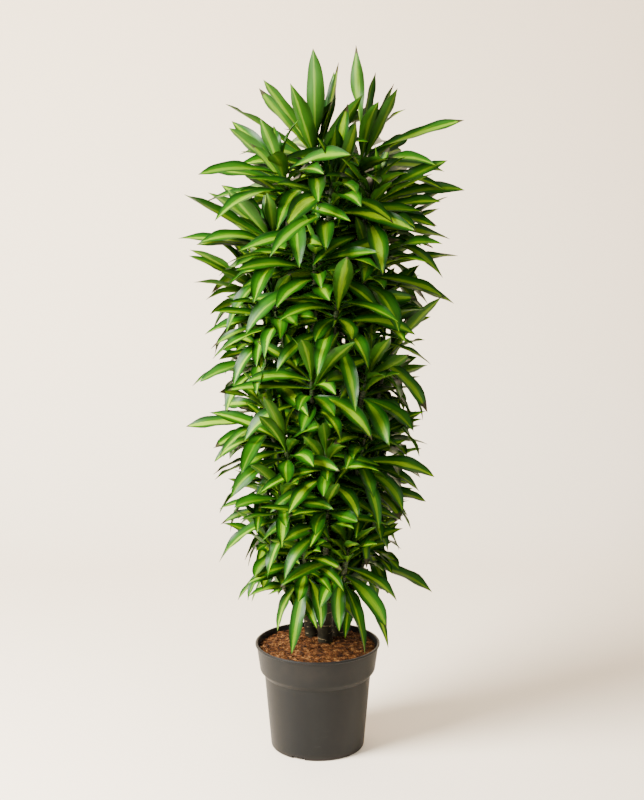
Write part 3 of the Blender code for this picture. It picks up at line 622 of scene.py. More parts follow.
class TracedHead:
    """The leaves of a head and its shoot's centre line from foot to tip, with the radius at each point."""

    def __init__(self, node):
        shape = joined(node)
        blades = set()
        self.leaves = []
        for tip in shape.verts:
            points = leaf_points(tip)
            if points:
                self.leaves.append(traced_leaf(tip, *points))
                blades.update({tip}, *points[:4])
        self.line, self.girth = centre_line(shoot_rings(shape, blades)[::-1])
        shape.free()
        leafy = (self.line[-3] - self.line[-2 - LEAFY_RINGS]).length
        for leaf in self.leaves:
            leaf.age = min(1.0, (leaf.base - self.line[-2]).length / leafy)


def cane_line(node):
    """Centres and radii of a cane's rings, from its foot to its cut top."""
    shape = joined(node)
    rings = []
    for point in sorted(shape.verts, key=lambda point: point.co.z):
        near = rings and abs(point.co.z - rings[-1][0].co.z) < CANE_RING_HEIGHT
        if near and len(rings[-1]) < CANE_SIDES:
            rings[-1].append(point)
        else:
            rings.append([point])
    line, girth = centre_line(rings)
    shape.free()
    return line, girth


# ---- Leaves ----


def leaf_outline(along):
    """Share of the full width along a leaf: a narrow clasping base, a long belly and a drawn-out point."""
    outline = add(along.tree, "ShaderNodeFloatCurve", Value=along)
    mapping = outline.socket.node.mapping
    points = mapping.curves[0].points
    points[0].location, points[1].location = LEAF_OUTLINE[0], LEAF_OUTLINE[-1]
    for place in LEAF_OUTLINE[1:-1]:
        points.new(*place)
    mapping.update()
    return outline


def leaf_tree():
    """Grows a blade at each point, along the curve that the point's attributes describe."""
    tree, given, sink = mesh_tree(
        "Striped leaves", Segments=14, Thickness=0.0007, Fold=0.2, Wave=0.002, Waves=2.6
    )
    strip = {"Vertices": LEAF_SECTION_POINTS, "Side_Segments": given["Segments"], "Radius": 1.0, "Depth": 1.0}
    strip = add(tree, "MeshCylinder", **strip)
    x, y, z = add(tree, "InputPosition").split()
    for name, value in (("across", x), ("over", y), ("along", z + 0.5)):
        strip = store(strip, name, value)
    # Both sides are split along the same diagonals, or they would pass through each other at the waves
    for side, split in ((1.0, "FIXED"), (-1.0, "FIXED_ALTERNATE")):
        facing = (named(tree, "over") * side).above(0.0)
        strip = add(tree, "Triangulate", Mesh=strip, Selection=facing, quad_method=split)
    blades = add(tree, "InstanceOnPoints", Points=given["Geometry"], Instance=strip)
    blades = add(tree, "RealizeInstances", Geometry=blades)

    u, over, v, width, curl, twist = (
        named(tree, name) for name in ("across", "over", "along", "width", "curl", "twist")
    )
    base, knee, tip, side_low, side_high, nature = (
        named(tree, name, "FLOAT_VECTOR")
        for name in ("base", "knee", "tip", "side_low", "side_high", "nature")
    )
    tone, _, _ = nature.split()

    # The curve, and the directions along it, to its side and out of its top
    rest = 1.0 - v
    centre = base * (rest * rest) + knee * (rest * v * 2.0) + tip * (v * v)
    forward = ((knee - base) * rest + (tip - knee) * v).normalised()
    turn = v.ramp(*BLADE_STATIONS)
    top = (side_low * (1.0 - turn) + side_high * turn).cross(forward).normalised()
    side = forward.cross(top)
    angle = twist * v * v
    turned_side = side * angle.cosine() + top * angle.sine()
    turned_top = top * angle.cosine() - side * angle.sine()

    # The section: an arc that clasps the shoot at the base, a fold along the midrib, and wavy edges
    outline = leaf_outline(v)
    half = width * outline * 0.5
    clasp = (1.0 - v.ramp(0.02, 0.30)) * 0.95 + 0.30
    arc = clasp * (1.0 - curl) + curl * 2.8
    bend = u * arc
    out = half * bend.sine() / arc
    up = half * (1.0 - bend.cosine()) / arc
    fold = half * u.size() * given["Fold"] * (1.0 - curl)
    swing = (v * given["Waves"] + tone * 7.0) * (2 * math.pi) + u * 1.3
    wave = swing.sine() * u * u * outline * given["Wave"] * v.ramp(0.1, 0.4)
    body = outline * 0.6 + 0.4
    skin = over * (1.0 - u * u * 0.7) * 0.5
    rib = over.math("MINIMUM", 0.0) * (1.0 - u.size() * 1.45).clamped() * 0.9
    thick = (skin + rib) * given["Thickness"] * body
    place = centre + turned_side * out + turned_top * (up + fold + wave + thick)

    blades = add(tree, "SetPosition", Geometry=blades, Position=place)
    chart = vector_of(u * 0.5 + 0.5, v, 0.0)
    blades = smooth(store(blades, "UVMap", chart, data_type="FLOAT2", domain="CORNER"), Shade_Smooth=True)
    blades = smooth(blades, "EDGE", Selection=u.size().above(0.99), Shade_Smooth=False)
    return end_tree(blades, given, sink)


def young_leaves(head, chance):
    """The rolled youngest leaf and the short ones that have just opened round it."""
    crown, spear = head.line[-3], head.line[-1]
    axis = (spear - crown).normalized()
    aside = axis.orthogonal().normalized()
    half_way = (crown + spear) / 2
    leaves = [LeafLine(crown, half_way, spear, aside, aside, ROLLED_WIDTH, age=0.0, curl=1.0)]
    for i in range(YOUNG_LEAVES):
        around = (i + chance.random() * 0.4) * GOLDEN_ANGLE
        out = (aside * math.cos(around) + axis.cross(aside) * math.sin(around)).normalized()
        reach = chance.uniform(*YOUNG_REACH) * (1 + 0.15 * i)
        lean = 0.18 + 0.16 * i
        base = crown + out * 0.003 - axis * 0.006 * i
        tip = base + axis * reach * math.cos(lean) + out * reach * math.sin(lean)
        knee = base + axis * reach * 0.55 + out * reach * 0.02
        side = axis.cross(out) * -1
        width = chance.uniform(*YOUNG_WIDTH)
        if side.cross(tip - base).dot(out) > 0:
            side = side * -1
        leaves.append(LeafLine(base, knee, tip, side, side, width, age=0.08 * (i + 1)))
    return leaves


def inner_leaves(head, number, chance):
    """Short shaded leaves low on a shoot, which fill the middle of the plant and hang round its canes."""
    low, high = head.line[1], head.line[-4]
    to_axis = Vector((PLANT_AXIS[0] - low.x, PLANT_AXIS[1] - low.y, 0)).normalized()
    aside = to_axis.cross(UP)
    leaves = []
    for _ in range(number):
        start = low.lerp(high, chance.random())
        turn = chance.uniform(*INNER_TURN)
        level = to_axis * math.cos(turn) + aside * math.sin(turn)
        rise = chance.uniform(*INNER_RISE)
        out = level * math.cos(rise) + UP * math.sin(rise)
        reach = chance.uniform(*INNER_REACH)
        knee = start + (out + UP * 0.45).normalized() * reach * 0.5
        tip = knee + (out - UP * chance.uniform(*INNER_HANG)).normalized() * reach * 0.5
        if tip.z >= LOWEST_TIP:
            side = (tip - start).cross(UP + aside * chance.uniform(-0.8, 0.8)).normalized()
            leaves.append(LeafLine(start, knee, tip, side, side, chance.uniform(*INNER_WIDTH), age=1.0))
    return leaves


def grow_leaves(name, head, tree, finish, settings, chance):
    leaves = head.leaves + young_leaves(head, chance) + inner_leaves(head, settings.inner, chance)
    nature = []
    for leaf in leaves:
        nature.append(Vector((chance.random(), leaf.age, leaf.length())))
        if not leaf.curl:
            leaf.twist = chance.gauss(0, TWIST_SPREAD)
    columns = {
        label: [getattr(leaf, label) for leaf in leaves]
        for label in ("base", "knee", "tip", "side_low", "side_high", "width", "curl", "twist")
    }
    mesh = points_mesh(name, columns["base"], [], {**columns, "nature": nature})
    piece = grown(
        name, mesh, tree, finish, Segments=settings.segments, Thickness=settings.thickness,
        Fold=settings.fold, Wave=settings.wave, Waves=settings.waves,
    )
    drop_helpers(piece, "over", "nature")
    return piece


# ---- Stems ----


def stem_tree():
    """A stem along a path, ringed where old leaves have fallen."""
    tree, given, sink = mesh_tree(
        "Ringed stem", Sides=10, Ring_spacing=0.01, Ring_height=0.0007, Unevenness=0.0006
    )
    spacing = given["Ring spacing"]
    path = add(tree, "MeshToCurve", Mesh=given["Geometry"])
    path = add(tree, "CurveSplineType", Curve=path, spline_type="CATMULL_ROM")
    path = add(tree, "ResampleCurve", Curve=path, Length=spacing / 6.0, mode="LENGTH")
    path = store(path, "rise", add(tree, "SplineParameter", 1))
    circle = add(tree, "CurvePrimitiveCircle", Resolution=given["Sides"], Radius=1.0)
    tube = {"Curve": path, "Profile_Curve": circle, "Scale": named(tree, "girth"), "Fill_Caps": True}
    stem = add(tree, "CurveToMesh", **tube)

    place = add(tree, "InputPosition")
    wander = place.noise(38.0, 2.0) * spacing * 1.1
    phase = ((named(tree, "rise") + wander) / spacing).math("FRACT")
    ring = ((phase - 0.5).size() * 2.0).ramp(0.74, 0.99)
    lump = place.noise(95.0, 3.0) - 0.5
    stem = store(stem, "scar", ring)
    offset = ring * given["Ring height"] + lump * given["Unevenness"]
    offset = add(tree, "InputNormal") * offset
    stem = add(tree, "SetPosition", Geometry=stem, Offset=offset)
    _, _, facing = add(tree, "InputNormal").split()
    stem = store(stem, "cut", facing.ramp(0.72, 0.80), domain="FACE")
    return end_tree(smooth(stem, Shade_Smooth=True), given, sink)


def grow_stem(name, line, girth, finish, sides, spacing, ring_height, unevenness):
    edges = [(i, i + 1) for i in range(len(line) - 1)]
    mesh = points_mesh(name, line, edges, {"girth": girth})
    piece = grown(
        name, mesh, shared("Ringed stem", stem_tree), finish, Sides=sides, Ring_spacing=spacing,
        Ring_height=ring_height, Unevenness=unevenness,
    )
    drop_helpers(piece, "scar", "cut", "rise")
    return piece


# ---- Pot ----


def filleted(corners):
    """A profile of (radius, height, rounding) corners with each corner rounded by an arc."""
    points = []
    for i, (radius, height, rounding) in enumerate(corners):
        here = Vector((radius, height))
        if not rounding or i in (0, len(corners) - 1):
            points.append(here)
            continue
        before = Vector(corners[i - 1][:2]) - here
        after = Vector(corners[i + 1][:2]) - here
        reach = min(rounding, before.length * MOST_ROUNDED, after.length * MOST_ROUNDED)
        start, end = here + before.normalized() * reach, here + after.normalized() * reach
        for k in range(ROUNDING_STEPS + 1):
            t = k / ROUNDING_STEPS
            points.append(start * (1 - t) ** 2 + here * 2 * t * (1 - t) + end * t * t)
    return points


def turned(name, profile, segments):
    """A closed shape made by turning a profile, whose two ends lie on the axis, about the vertical."""
    rings = [[round_point(p.x, angle, p.y) for angle in turns(segments)] for p in profile[1:-1]]
    return closed_rings(name, (0, 0, profile[0].y), rings, (0, 0, profile[-1].y))


def cut_away(piece, cutters):
    """Cuts closed shapes out of a piece."""
    for cutter in cutters:
        modifier = piece.modifiers.new("cut", "BOOLEAN")
        modifier.operation = "DIFFERENCE"
        modifier.solver = "EXACT"
        modifier.object = cutter
    evaluate(piece)
    for cutter in cutters:
        bpy.data.objects.remove(cutter)


def block(size, centre, angle):
    """A box-shaped cutter turned about the vertical."""
    shape = bmesh.new()
    bmesh.ops.create_cube(shape, size=1)
    bmesh.ops.scale(shape, vec=size, verts=shape.verts)
    bmesh.ops.rotate(shape, matrix=Matrix.Rotation(angle, 3, "Z"), verts=shape.verts)
    bmesh.ops.translate(shape, vec=centre, verts=shape.verts)
    return add_object("cutter", mesh_from(shape, "cutter"))


def drill(radius, centre):
    """A cutter: an upright cylinder through the pot's base."""
    shape = bmesh.new()
    size = {"radius1": radius, "radius2": radius, "depth": DRILL_LENGTH}
    bmesh.ops.create_cone(shape, cap_ends=True, segments=DRILL_SIDES, **size)
    bmesh.ops.translate(shape, vec=centre, verts=shape.verts)
    return add_object("cutter", mesh_from(shape, "cutter"))


def pot_profile(wall):
    """The pot from the middle of its underside, up its outside, over the rim and down its inside."""
    collar_top, collar_foot = (RIM_RADIUS - inset for inset in COLLAR_INSETS)
    body_top, body_foot = (RIM_RADIUS - inset for inset in BODY_INSETS)
    bead = POT_HEIGHT - BEAD_HEIGHT
    pad, ring_foot = CHANNEL
    base = [
        (0, 0, 0), (pad, 0, 0.001), (pad + CHANNEL_SLOPE, CHANNEL_HEIGHT, 0.001),
        (ring_foot - CHANNEL_SLOPE, CHANNEL_HEIGHT, 0.001), (ring_foot, 0, 0.001),
    ]
    outside = [
        (body_foot, 0, 0.006), (body_top, BODY_HEIGHT, 0.0012), (collar_foot, COLLAR_HEIGHT, 0.004),
        (collar_top, bead, 0.0012), (RIM_RADIUS, bead + 0.0015, 0.0010), (RIM_RADIUS, POT_HEIGHT, 0.0022),
    ]
    step_lift = 0.4 * wall
    inside = [
        (collar_top - wall, POT_HEIGHT, 0.0012), (collar_foot - wall, COLLAR_HEIGHT + step_lift, 0.003),
        (body_top - wall, BODY_HEIGHT + step_lift, 0.003), (body_foot - wall, wall, 0.003),
    ]
    raised = [(radius, height + wall, rounding) for radius, height, rounding in base[::-1]]
    return filleted(base + outside + inside + raised)


# ---- Soil ----


def soil_surface(roughness, chance):
    """A closed bed of soil with a lumpy top."""
    edge = SOIL_RADIUS - BED_GAP
    heap = SOIL_TOP - BED_SINK
    shift = Vector((chance.uniform(0, 9), chance.uniform(0, 9), 0))

    def top_point(radius, angle):
        point = round_point(radius, angle)
        lumps = mathutils_noise.fractal(point * LUMP_SCALE + shift, 1.0, 2.0, 4)
        out = radius / edge
        point.z = heap - BED_MOUND + BED_MOUND * (1 - out * out) + lumps * roughness
        return point

    rings = [
        [top_point(edge * i / BED_RINGS, angle) for angle in turns(BED_SEGMENTS)]
        for i in range(1, BED_RINGS + 1)
    ]
    rings.append([round_point(edge - BED_TAPER, angle, heap - BED_DEPTH) for angle in turns(BED_SEGMENTS)])
    return closed_rings("soil_bed", top_point(0, 0), rings, (0, 0, heap - BED_DEPTH))


def scattered(tree, given, margin):
    """Points on the upward faces of the soil, none of them nearer to the pot's wall than the margin."""
    _, _, facing = add(tree, "InputNormal").split()
    density = given["Count"] / (given["Reach"] * given["Reach"] * math.pi)
    spots = add(
        tree, "DistributePointsOnFaces", distribute_method="RANDOM", Mesh=given["Geometry"],
        Selection=facing.above(0.5), Density=density, Seed=given["Seed"],
    )
    x, y, _ = add(tree, "InputPosition").split()
    outside = (x * x + y * y).math("SQRT").above(given["Reach"] - margin)
    return add(tree, "DeleteGeometry", Geometry=spots, Selection=outside, domain="POINT")


def strewn(given, sink, spots, shape, scale, tilt, shades):
    """Puts a shape on every spot at its own scale, turned any way round and tilted a little."""
    tree, seed = shape.tree, given["Seed"]
    tilts = [random_number(-tilt, tilt, seed, 10 + i) for i in range(2)]
    angles = vector_of(*tilts, random_number(0.0, 2 * math.pi, seed, 12))
    turn = add(tree, "FunctionNodeEulerToRotation", Euler=angles)
    inputs = {"Points": spots, "Instance": shape, "Scale": scale, "Rotation": turn}
    pieces = add(tree, "InstanceOnPoints", **inputs)
    return end_tree(store(pieces, "shade", random_number(*shades, seed, 2), domain="INSTANCE"), given, sink)


def crumb_tree():
    """Rough coir crumbs, long in one direction, strewn over the soil."""
    tree, given, sink = mesh_tree("Coir crumbs", Count=5000, Size=0.0045, Reach=0.14, Seed=7)
    ball = add(tree, "MeshIcoSphere", Radius=1.0, Subdivisions=1)
    spot = add(tree, "InputPosition")
    dented = spot * (spot.noise(1.3, 2.0) * 0.9 + 0.5)
    ball = add(tree, "SetPosition", Geometry=ball, Position=dented)
    size = (random_number(0.12, 1.0, given["Seed"], 1) ** 2.0) * given["Size"] + 0.0008
    shape = vector_of(size * 1.7, size * 0.85, size * 0.55)
    spots = scattered(tree, given, CRUMB_MARGIN)
    return strewn(given, sink, spots, ball, shape, tilt=0.5, shades=(0.0, 1.0))


def fibre_tree():
    """Thin bent coir fibres lying over the crumbs."""
    tree, given, sink = mesh_tree("Coir fibres", Count=5000, Size=0.015, Reach=0.14, Seed=9)
    thread = add(
        tree, "CurvePrimitiveBezierSegment", Resolution=4, Start=(-0.5, 0, 0),
        Start_Handle=(-0.2, 0.22, 0.10), End_Handle=(0.2, -0.20, 0.12), End=(0.5, 0.04, 0),
    )
    section = add(tree, "CurvePrimitiveCircle", Resolution=3, Radius=0.032)
    thread = {"Curve": thread, "Profile_Curve": section, "Fill_Caps": True}
    thread = add(tree, "CurveToMesh", **thread)
    reach = random_number(0.30, 1.0, given["Seed"], 4) * given["Size"]
    shape = vector_of(reach, reach, reach)
    spots = scattered(tree, given, FIBRE_MARGIN)
    return strewn(given, sink, spots, thread, shape, tilt=0.28, shades=(0.5, 1.5))


# ---- Finishes ----


def grain_group():
    """A fine uneven grain: a mask about one half and the height for a bump."""
    inputs = {"Place": ("Vector", None), "Scale": ("Float", 60.0), "Stretch": ("Vector", (1, 1, 1))}
    tree, given, sink = group_tree("Grain", "ShaderNodeTree", inputs, ["Mask", "Height"])
    at = given["Place"] * given["Stretch"]
    coarse = at.noise(given["Scale"], 4.0, 0.6)
    fine = at.noise(given["Scale"] * 5.0, 3.0, 0.6)
    feed(tree, sink.inputs["Mask"], coarse * 0.7 + fine * 0.3)
    feed(tree, sink.inputs["Height"], coarse * 0.4 + fine * 0.6)
    return tree


def streak_group():
    """Streaks that run along a leaf: a broad and a fine mask about one half, different on each leaf."""
    inputs = {name: ("Float", 0.0) for name in ("Across", "Along", "Tone")}
    tree, given, sink = group_tree("Leaf streaks", "ShaderNodeTree", inputs, ["Broad", "Fine"])
    u, v, tone = given["Across"], given["Along"], given["Tone"]
    broad_at = vector_of(u * 3.4 + tone * 57.0, v * 7.0, tone * 23.0)
    fine_at = vector_of(u * 15.0 + tone * 91.0, v * 9.0, tone * 41.0)
    feed(tree, sink.inputs["Broad"], broad_at.noise(1.0, 2.0, 0.5))
    feed(tree, sink.inputs["Fine"], fine_at.noise(1.0, 3.0, 0.6))
    return tree


class Finish:
    """A material under construction: its tree, its surface shader and the place on the object."""

    def __init__(self, name):
        self.material = bpy.data.materials.new(name)
        self.material.use_nodes = True
        self.tree = self.material.node_tree
        self.shader = self.tree.nodes["Principled BSDF"]
        self.place = add(self.tree, "TexCoord", 3)

    def attribute(self, name, out=2):
        return add(self.tree, "Attribute", out, attribute_name=name)

    def group(self, group, **inputs):
        """A node group placed in the tree: the terms of its outputs."""
        return outputs_of(add(self.tree, "Group", node_tree=group, **inputs)).values()

    def grain(self, scale, stretch=(1, 1, 1)):
        return self.group(shared("Grain", grain_group), Place=self.place, Scale=scale, Stretch=stretch)

    def done(self, skin, rough, shine, height, depth, strength, **others):
        """Sets the surface, with a bump of this height and depth, and gives the material."""
        bump = add(self.tree, "Bump", Height=height, Distance=depth, Strength=strength)
        surface = {"Base Color": skin, "Roughness": rough, "Specular IOR Level": shine, "Normal": bump}
        for name, value in {**surface, **others}.items():
            feed(self.tree, self.shader.inputs[name], value)
        return self.material


def leaf_finish(settings):
    """Lime down the middle, green beside it, dark towards the edges, and paler underneath."""
    made = Finish("striped_leaf")
    x, v, _ = add(made.tree, "UVMap", uv_map="UVMap").split()
    u = x * 2.0 - 1.0
    tone, age, length_along = made.attribute("nature", 1).split()
    under = 1.0 - made.attribute("over").ramp(-0.06, 0.02)
    far = u.size()
    streaks = shared("Leaf streaks", streak_group)
    broad_streaks, fine_streaks = made.group(streaks, Across=u, Along=v * length_along * 1.9, Tone=tone)
    broad, fine = broad_streaks - 0.5, fine_streaks - 0.5
    chance, second = (tone * 17.31).math("FRACT"), (tone * 41.73).math("FRACT")

    # How far out the lime and the mid green reach
    edge = far + broad * 0.50 + fine * 0.55
    reach = chance * 0.26 + 0.01
    lime = 1.0 - edge.ramp(reach - 0.05, reach + 0.22)
    lime = lime * (1.0 - age * 0.20) * (second * 0.75 + 0.30).clamped()
    green = 1.0 - (far + broad * 0.40 + fine * 0.35).ramp(0.42, 0.92)
    skin = blended(green, settings.margin, settings.flank)
    skin = blended(lime, skin, settings.stripe)
    skin = blended(fine.ramp(0.02, 0.16) * 0.55 * lime, skin, settings.flank)

    # Underside: greyer and paler, with a pale rib
    pale = blended(0.50, skin, settings.underside)
    pale = blended((1.0 - far.ramp(0.03, 0.11)) * 0.6, pale, settings.rib)
    skin = blended(under, skin, pale)

    # A thin brown edge, and a dry tip on some leaves
    brown = far.ramp(0.94, 0.99) * 0.5
    dry_from = 1.0 - (chance ** 9.0) * 0.15 - 0.026
    tip = (v + fine * 0.06).ramp(dry_from, dry_from + 0.03)
    skin = blended(brown.math("MAXIMUM", tip * 0.9), skin, settings.dry)
    rough = fine_streaks * 0.16 + under * 0.14 + 0.27 + tip * 0.2
    height = fine_streaks * 0.7 + broad_streaks * 0.3
    return made.done(skin, rough, shine=0.12, height=height, depth=0.0006, strength=0.55)


def shoot_finish(settings):
    made = Finish("green_shoot")
    mask, height = made.grain(60.0, (1, 1, 0.4))
    skin = blended(mask.ramp(0.35, 0.7), settings.green, settings.bark)
    skin = blended(made.attribute("scar") * 0.30, skin, settings.scar)
    return made.done(skin, mask * 0.3 + 0.38, shine=0.2, height=height, depth=0.0006, strength=0.5)


def bark_finish(settings):
    """Dark bark with pale broken scars, lichen-grey patches, and bare wood where a cane was cut."""
    made = Finish("cane_bark")
    mask, height = made.grain(70.0, (1, 1, 0.25))
    patch = made.place.noise(26.0, 3.0, 0.6)
    cracks = (made.place * Vector((1, 1, 0.3))).noise(160.0, 4.0, 0.65)
    skin = blended(patch.ramp(0.42, 0.66), settings.bark, settings.lichen)
    skin = blended(mask.ramp(0.48, 0.72) * 0.5, skin, (0.007, 0.006, 0.003))
    broken = made.attribute("scar").ramp(0.45, 0.85) * cracks.ramp(0.36, 0.56)
    skin = blended(broken * 0.9, skin, settings.scar)
    x, y, _ = made.place.split()
    rings = vector_of(x, y, 0.0).noise(240.0, 3.0)
    wood = blended(rings.ramp(0.3, 0.7), settings.wood, (0.04, 0.017, 0.008))
    skin = blended(made.attribute("cut"), skin, wood)
    height = height * 0.5 + cracks * 0.5
    return made.done(skin, mask * 0.35 + 0.45, shine=0.15, height=height, depth=0.0016, strength=0.8)


def soil_finish(settings):
    made = Finish("potting_soil")
    mask, height = made.grain(130.0)
    skin = blended(mask.ramp(0.40, 0.68), settings.dark, settings.coir)
    return made.done(skin, 0.9, shine=0.12, height=height, depth=0.004, strength=1.0)


def coir_finish(settings):
    made = Finish("coir_crumbs")
    clump = made.place.noise(62.0, 3.0, 0.6).ramp(0.38, 0.66)
    shade = made.attribute("shade") + clump * 1.1 - 0.60
    mask, height = made.grain(190.0)
    skin = blended((shade * 0.9 + mask - 0.35).clamped(), settings.dark, settings.coir)
    skin = blended(shade.ramp(0.95, 1.5) * 0.75, skin, settings.straw)
    return made.done(skin, mask * 0.2 + 0.72, shine=0.12, height=height, depth=0.0015, strength=0.8)


def plastic_finish(settings):
    """Satin moulded plastic: a faint texture, scuffs low down, and a little soil dust under the rim."""
    made = Finish("pot_plastic")
    x, y, z = made.place.split()
    mask, height = made.grain(320.0)
    cloud = made.place.noise(9.0, 4.0, 0.6)
    drawn = vector_of(x * 14.0, y * 14.0, z * 1.6).noise(1.0, 4.0, 0.6)
    scuff = vector_of(x * 30.0, y * 30.0, z * 210.0).noise(1.0, 3.0, 0.7)
    scuffs = scuff.ramp(0.63, 0.74) * (1.0 - z.ramp(0.0, 0.12))
    dark, pale = (tuple(part * shade for part in settings.plastic) for shade in (0.86, 1.12))
    skin = blended((cloud * 0.6 + drawn * 0.4).ramp(0.35, 0.65), dark, pale)
    dusty = cloud.ramp(0.46, 0.75) * z.ramp(0.19, 0.262) * 0.14 + (1.0 - z.ramp(0.0, 0.02)) * 0.10
    skin = blended(dusty, skin, settings.dust)
    skin = blended(scuffs * 0.25, skin, settings.scuff)
    rough = mask * 0.14 + cloud * 0.10 + scuffs * 0.1 + (settings.sheen - 0.12)
    return made.done(skin, rough, shine=0.15, height=height, depth=0.00025, strength=0.5)


def floor_finish(settings):
    """Pale matt floor, painted shade up the backdrop; not there from behind, so it never hides the plant."""
    made = Finish("pale_floor")
    _, _, z = made.place.split()
    mask, height = made.grain(3.0)
    paint_and_shade = blended(mask, tuple(part * 0.97 for part in settings.floor), settings.floor)
    # Painted shade: the backdrop turns darker and warmer higher up
    paint_and_shade = blended(z.ramp(0.2, 2.6), paint_and_shade, settings.wall)
    behind = add(made.tree, "NewGeometry", 6)
    bump = {"height": height, "depth": 0.0004, "strength": 0.2}
    return made.done(paint_and_shade, 0.8, shine=0.5, **bump, Alpha=1.0 - behind)


# ---- Operators ----


def settings_of(context, name):
    return getattr(context.scene, "corn_plant_" + name)


def add_lamp(name, place, aim, size, power):
    light = bpy.data.lights.new(name, "AREA")
    light.shape = "DISK"
    light.size = size
    light.energy = power
    light.color = LAMP_TINT
    holder = add_object(name, light)
    holder.location = place
    holder.rotation_euler = (Vector(aim) - Vector(place)).to_track_quat("-Z", "Y").to_euler()


class CORNPLANT_OT_stage(bpy.types.Operator):
    """Lay the pale floor and backdrop, hang the lights and set up the camera"""

    bl_idname = "corn_plant.stage"
    bl_label = "Stage"

    def execute(self, context):
        settings = settings_of(context, "stage")
        line = [(STAGE_FRONT, 0), (STAGE_BACK, 0)]
        for k in range(1, STAGE_BEND_STEPS + 1):
            angle = math.pi / 2 * k / STAGE_BEND_STEPS
            bend = STAGE_BEND * math.sin(angle), STAGE_BEND - STAGE_BEND * math.cos(angle)
            line.append((STAGE_BACK + bend[0], bend[1]))
        line.append((STAGE_BACK + STAGE_BEND, STAGE_TOP))
        points = [(side * STAGE_HALF_WIDTH, y, z) for y, z in line for side in (-1, 1)]
        faces = [(2 * i, 2 * i + 1, 2 * i + 3, 2 * i + 2) for i in range(len(line) - 1)]
        sweep = bpy.data.meshes.new("backdrop")
        sweep.from_pydata(points, [], faces)
        backdrop = add_object("backdrop", sweep, floor_finish(settings))
        for face in sweep.polygons:
            face.use_smooth = True

        world = bpy.data.worlds.new("room")
        world.use_nodes = True
        background = world.node_tree.nodes["Background"]
        background.inputs["Color"].default_value = ROOM_TINT
        background.inputs["Strength"].default_value = settings.room
        context.scene.world = world
        for name, place, aim, size, power_share in LAMPS:
            add_lamp(name, place, aim, size, settings.window * power_share)

        camera = add_object("camera", bpy.data.cameras.new("camera"))
        camera.location = CAMERA_PLACE
        camera.rotation_euler = (math.radians(90 - CAMERA_DROP), 0, 0)
        camera.data.lens = CAMERA_LENS
        camera.data.sensor_width = CAMERA_SENSOR
        context.scene.camera = camera
        return {"FINISHED"}


class CORNPLANT_OT_pot(bpy.types.Operator):
    """Turn the nursery pot, with its stepped collar, drained base and three foot notches"""

    bl_idname = "corn_plant.pot"
    bl_label = "Pot"

    def execute(self, context):
        settings = settings_of(context, "pot")
        mesh = turned("nursery_pot", pot_profile(settings.wall), POT_SEGMENTS)
        pot = add_object("nursery_pot", mesh, plastic_finish(settings))
        notches = [FIRST_NOTCH + turn for turn in turns(NOTCHES)]
        cutters = [block(NOTCH_SIZE, round_point(NOTCH_CIRCLE, angle), angle) for angle in notches]
        for turn in turns(DRAIN_HOLES):
            cutters.append(drill(DRAIN_HOLE_RADIUS, round_point(DRAIN_CIRCLE, turn + math.pi / DRAIN_HOLES)))
        cut_away(pot, cutters)
        shade_smooth(pot, SMOOTH_ANGLE)
        take_place(pot, "pot_plastic", "pot")
        return {"FINISHED"}


class CORNPLANT_OT_soil(bpy.types.Operator):
    """Fill the pot with soil and scatter coir crumbs and fibres over it"""

    bl_idname = "corn_plant.soil"
    bl_label = "Soil"

    def execute(self, context):
        settings = settings_of(context, "soil")
        surface = soil_surface(settings.roughness, random.Random(SOIL_SEED))
        bed = add_object("soil_bed", surface, soil_finish(settings))
        shade_smooth(bed, SOIL_SMOOTH_ANGLE)
        take_place(bed, "potting_soil", "soil")
        coir = coir_finish(settings)
        for name, tree, number, size in (
            ("coir_crumbs", shared("Coir crumbs", crumb_tree), settings.crumbs, settings.crumb),
            ("coir_fibres", shared("Coir fibres", fibre_tree), settings.fibres, settings.fibre),
        ):
            litter = grown(name, bed.data.copy(), tree, coir, Count=number, Size=size, Reach=SOIL_RADIUS)
            drop_helpers(litter, "shade")
            take_place(litter, "potting_soil")
        return {"FINISHED"}


class CORNPLANT_OT_canes(bpy.types.Operator):
    """Grow the three woody canes with their leaf scars and cut tops"""

    bl_idname = "corn_plant.canes"
    bl_label = "Canes"

    def execute(self, context):
        settings = settings_of(context, "stem")
        finish = bark_finish(settings)
        rings = settings.cane_ring, settings.ring_height
        for node in CANE_NODES:
            piece = grow_stem("bark_" + node, *cane_line(node), finish, BARK_SIDES, *rings, BARK_LUMPS)
            take_place(piece, "cane_bark", node)
        return {"FINISHED"}


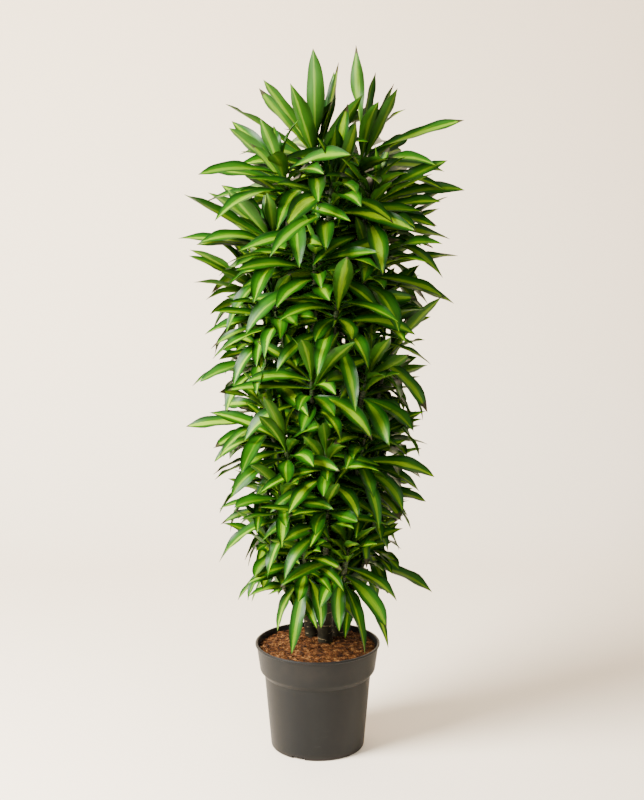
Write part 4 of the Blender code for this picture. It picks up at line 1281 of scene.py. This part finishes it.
class CORNPLANT_OT_heads(bpy.types.Operator):
    """Grow every leafy head: its ringed green shoot and its striped leaves"""

    bl_idname = "corn_plant.heads"
    bl_label = "Leafy heads"

    def execute(self, context):
        leaf, stem = settings_of(context, "leaf"), settings_of(context, "stem")
        leaf_skin, stem_skin = leaf_finish(leaf), shoot_finish(stem)
        blades = shared("Striped leaves", leaf_tree)
        rings = stem.shoot_ring, stem.ring_height * SHOOT_RING_SHARE
        for number, node in enumerate(HEAD_NODES):
            name = node.removeprefix("head_")
            head = TracedHead(node)
            foot = head.line[0] + (head.line[0] - head.line[1]).normalized() * SHOOT_SINK
            line = [foot, *head.line[:-1]]
            girth = [head.girth[0], *head.girth[:-2], SHOOT_END_RADIUS]
            shoot = grow_stem("shoot_" + name, line, girth, stem_skin, SKIN_SIDES, *rings, SKIN_LUMPS)
            chance = random.Random(number)
            leaves = grow_leaves("leaves_" + name, head, blades, leaf_skin, leaf, chance)
            take_place(shoot, "striped_leaf", node)
            take_place(leaves, "striped_leaf", node)
        return {"FINISHED"}


class CORNPLANT_PT_panel(bpy.types.Panel):
    """Lists the pieces of the corn plant and their settings"""

    bl_idname = "CORNPLANT_PT_panel"
    bl_label = "Corn Plant"
    bl_space_type = "VIEW_3D"
    bl_region_type = "UI"
    bl_category = "Corn Plant"

    def draw(self, context):
        for operator in OPERATORS:
            self.layout.operator(operator.bl_idname)
        for name in SETTINGS:
            box = self.layout.box()
            settings = settings_of(context, name)
            for key in settings.__annotations__:
                box.prop(settings, key)


OPERATORS = (
    CORNPLANT_OT_stage,
    CORNPLANT_OT_pot,
    CORNPLANT_OT_soil,
    CORNPLANT_OT_canes,
    CORNPLANT_OT_heads,
)


def register():
    for name, group in SETTINGS.items():
        bpy.utils.register_class(group)
        setattr(bpy.types.Scene, "corn_plant_" + name, PointerProperty(type=group))
    for shown in (*OPERATORS, CORNPLANT_PT_panel):
        bpy.utils.register_class(shown)


def unregister():
    for shown in (CORNPLANT_PT_panel, *reversed(OPERATORS)):
        bpy.utils.unregister_class(shown)
    for name, group in reversed(SETTINGS.items()):
        delattr(bpy.types.Scene, "corn_plant_" + name)
        bpy.utils.unregister_class(group)


def main():
    for name in ("Cube", "Light", "Camera"):
        if name in bpy.data.objects:
            bpy.data.objects.remove(bpy.data.objects[name])
    register()
    bpy.ops.corn_plant.stage()
    bpy.ops.corn_plant.pot()
    bpy.ops.corn_plant.soil()
    bpy.ops.corn_plant.canes()
    bpy.ops.corn_plant.heads()


if __name__ == "__main__":
    main()
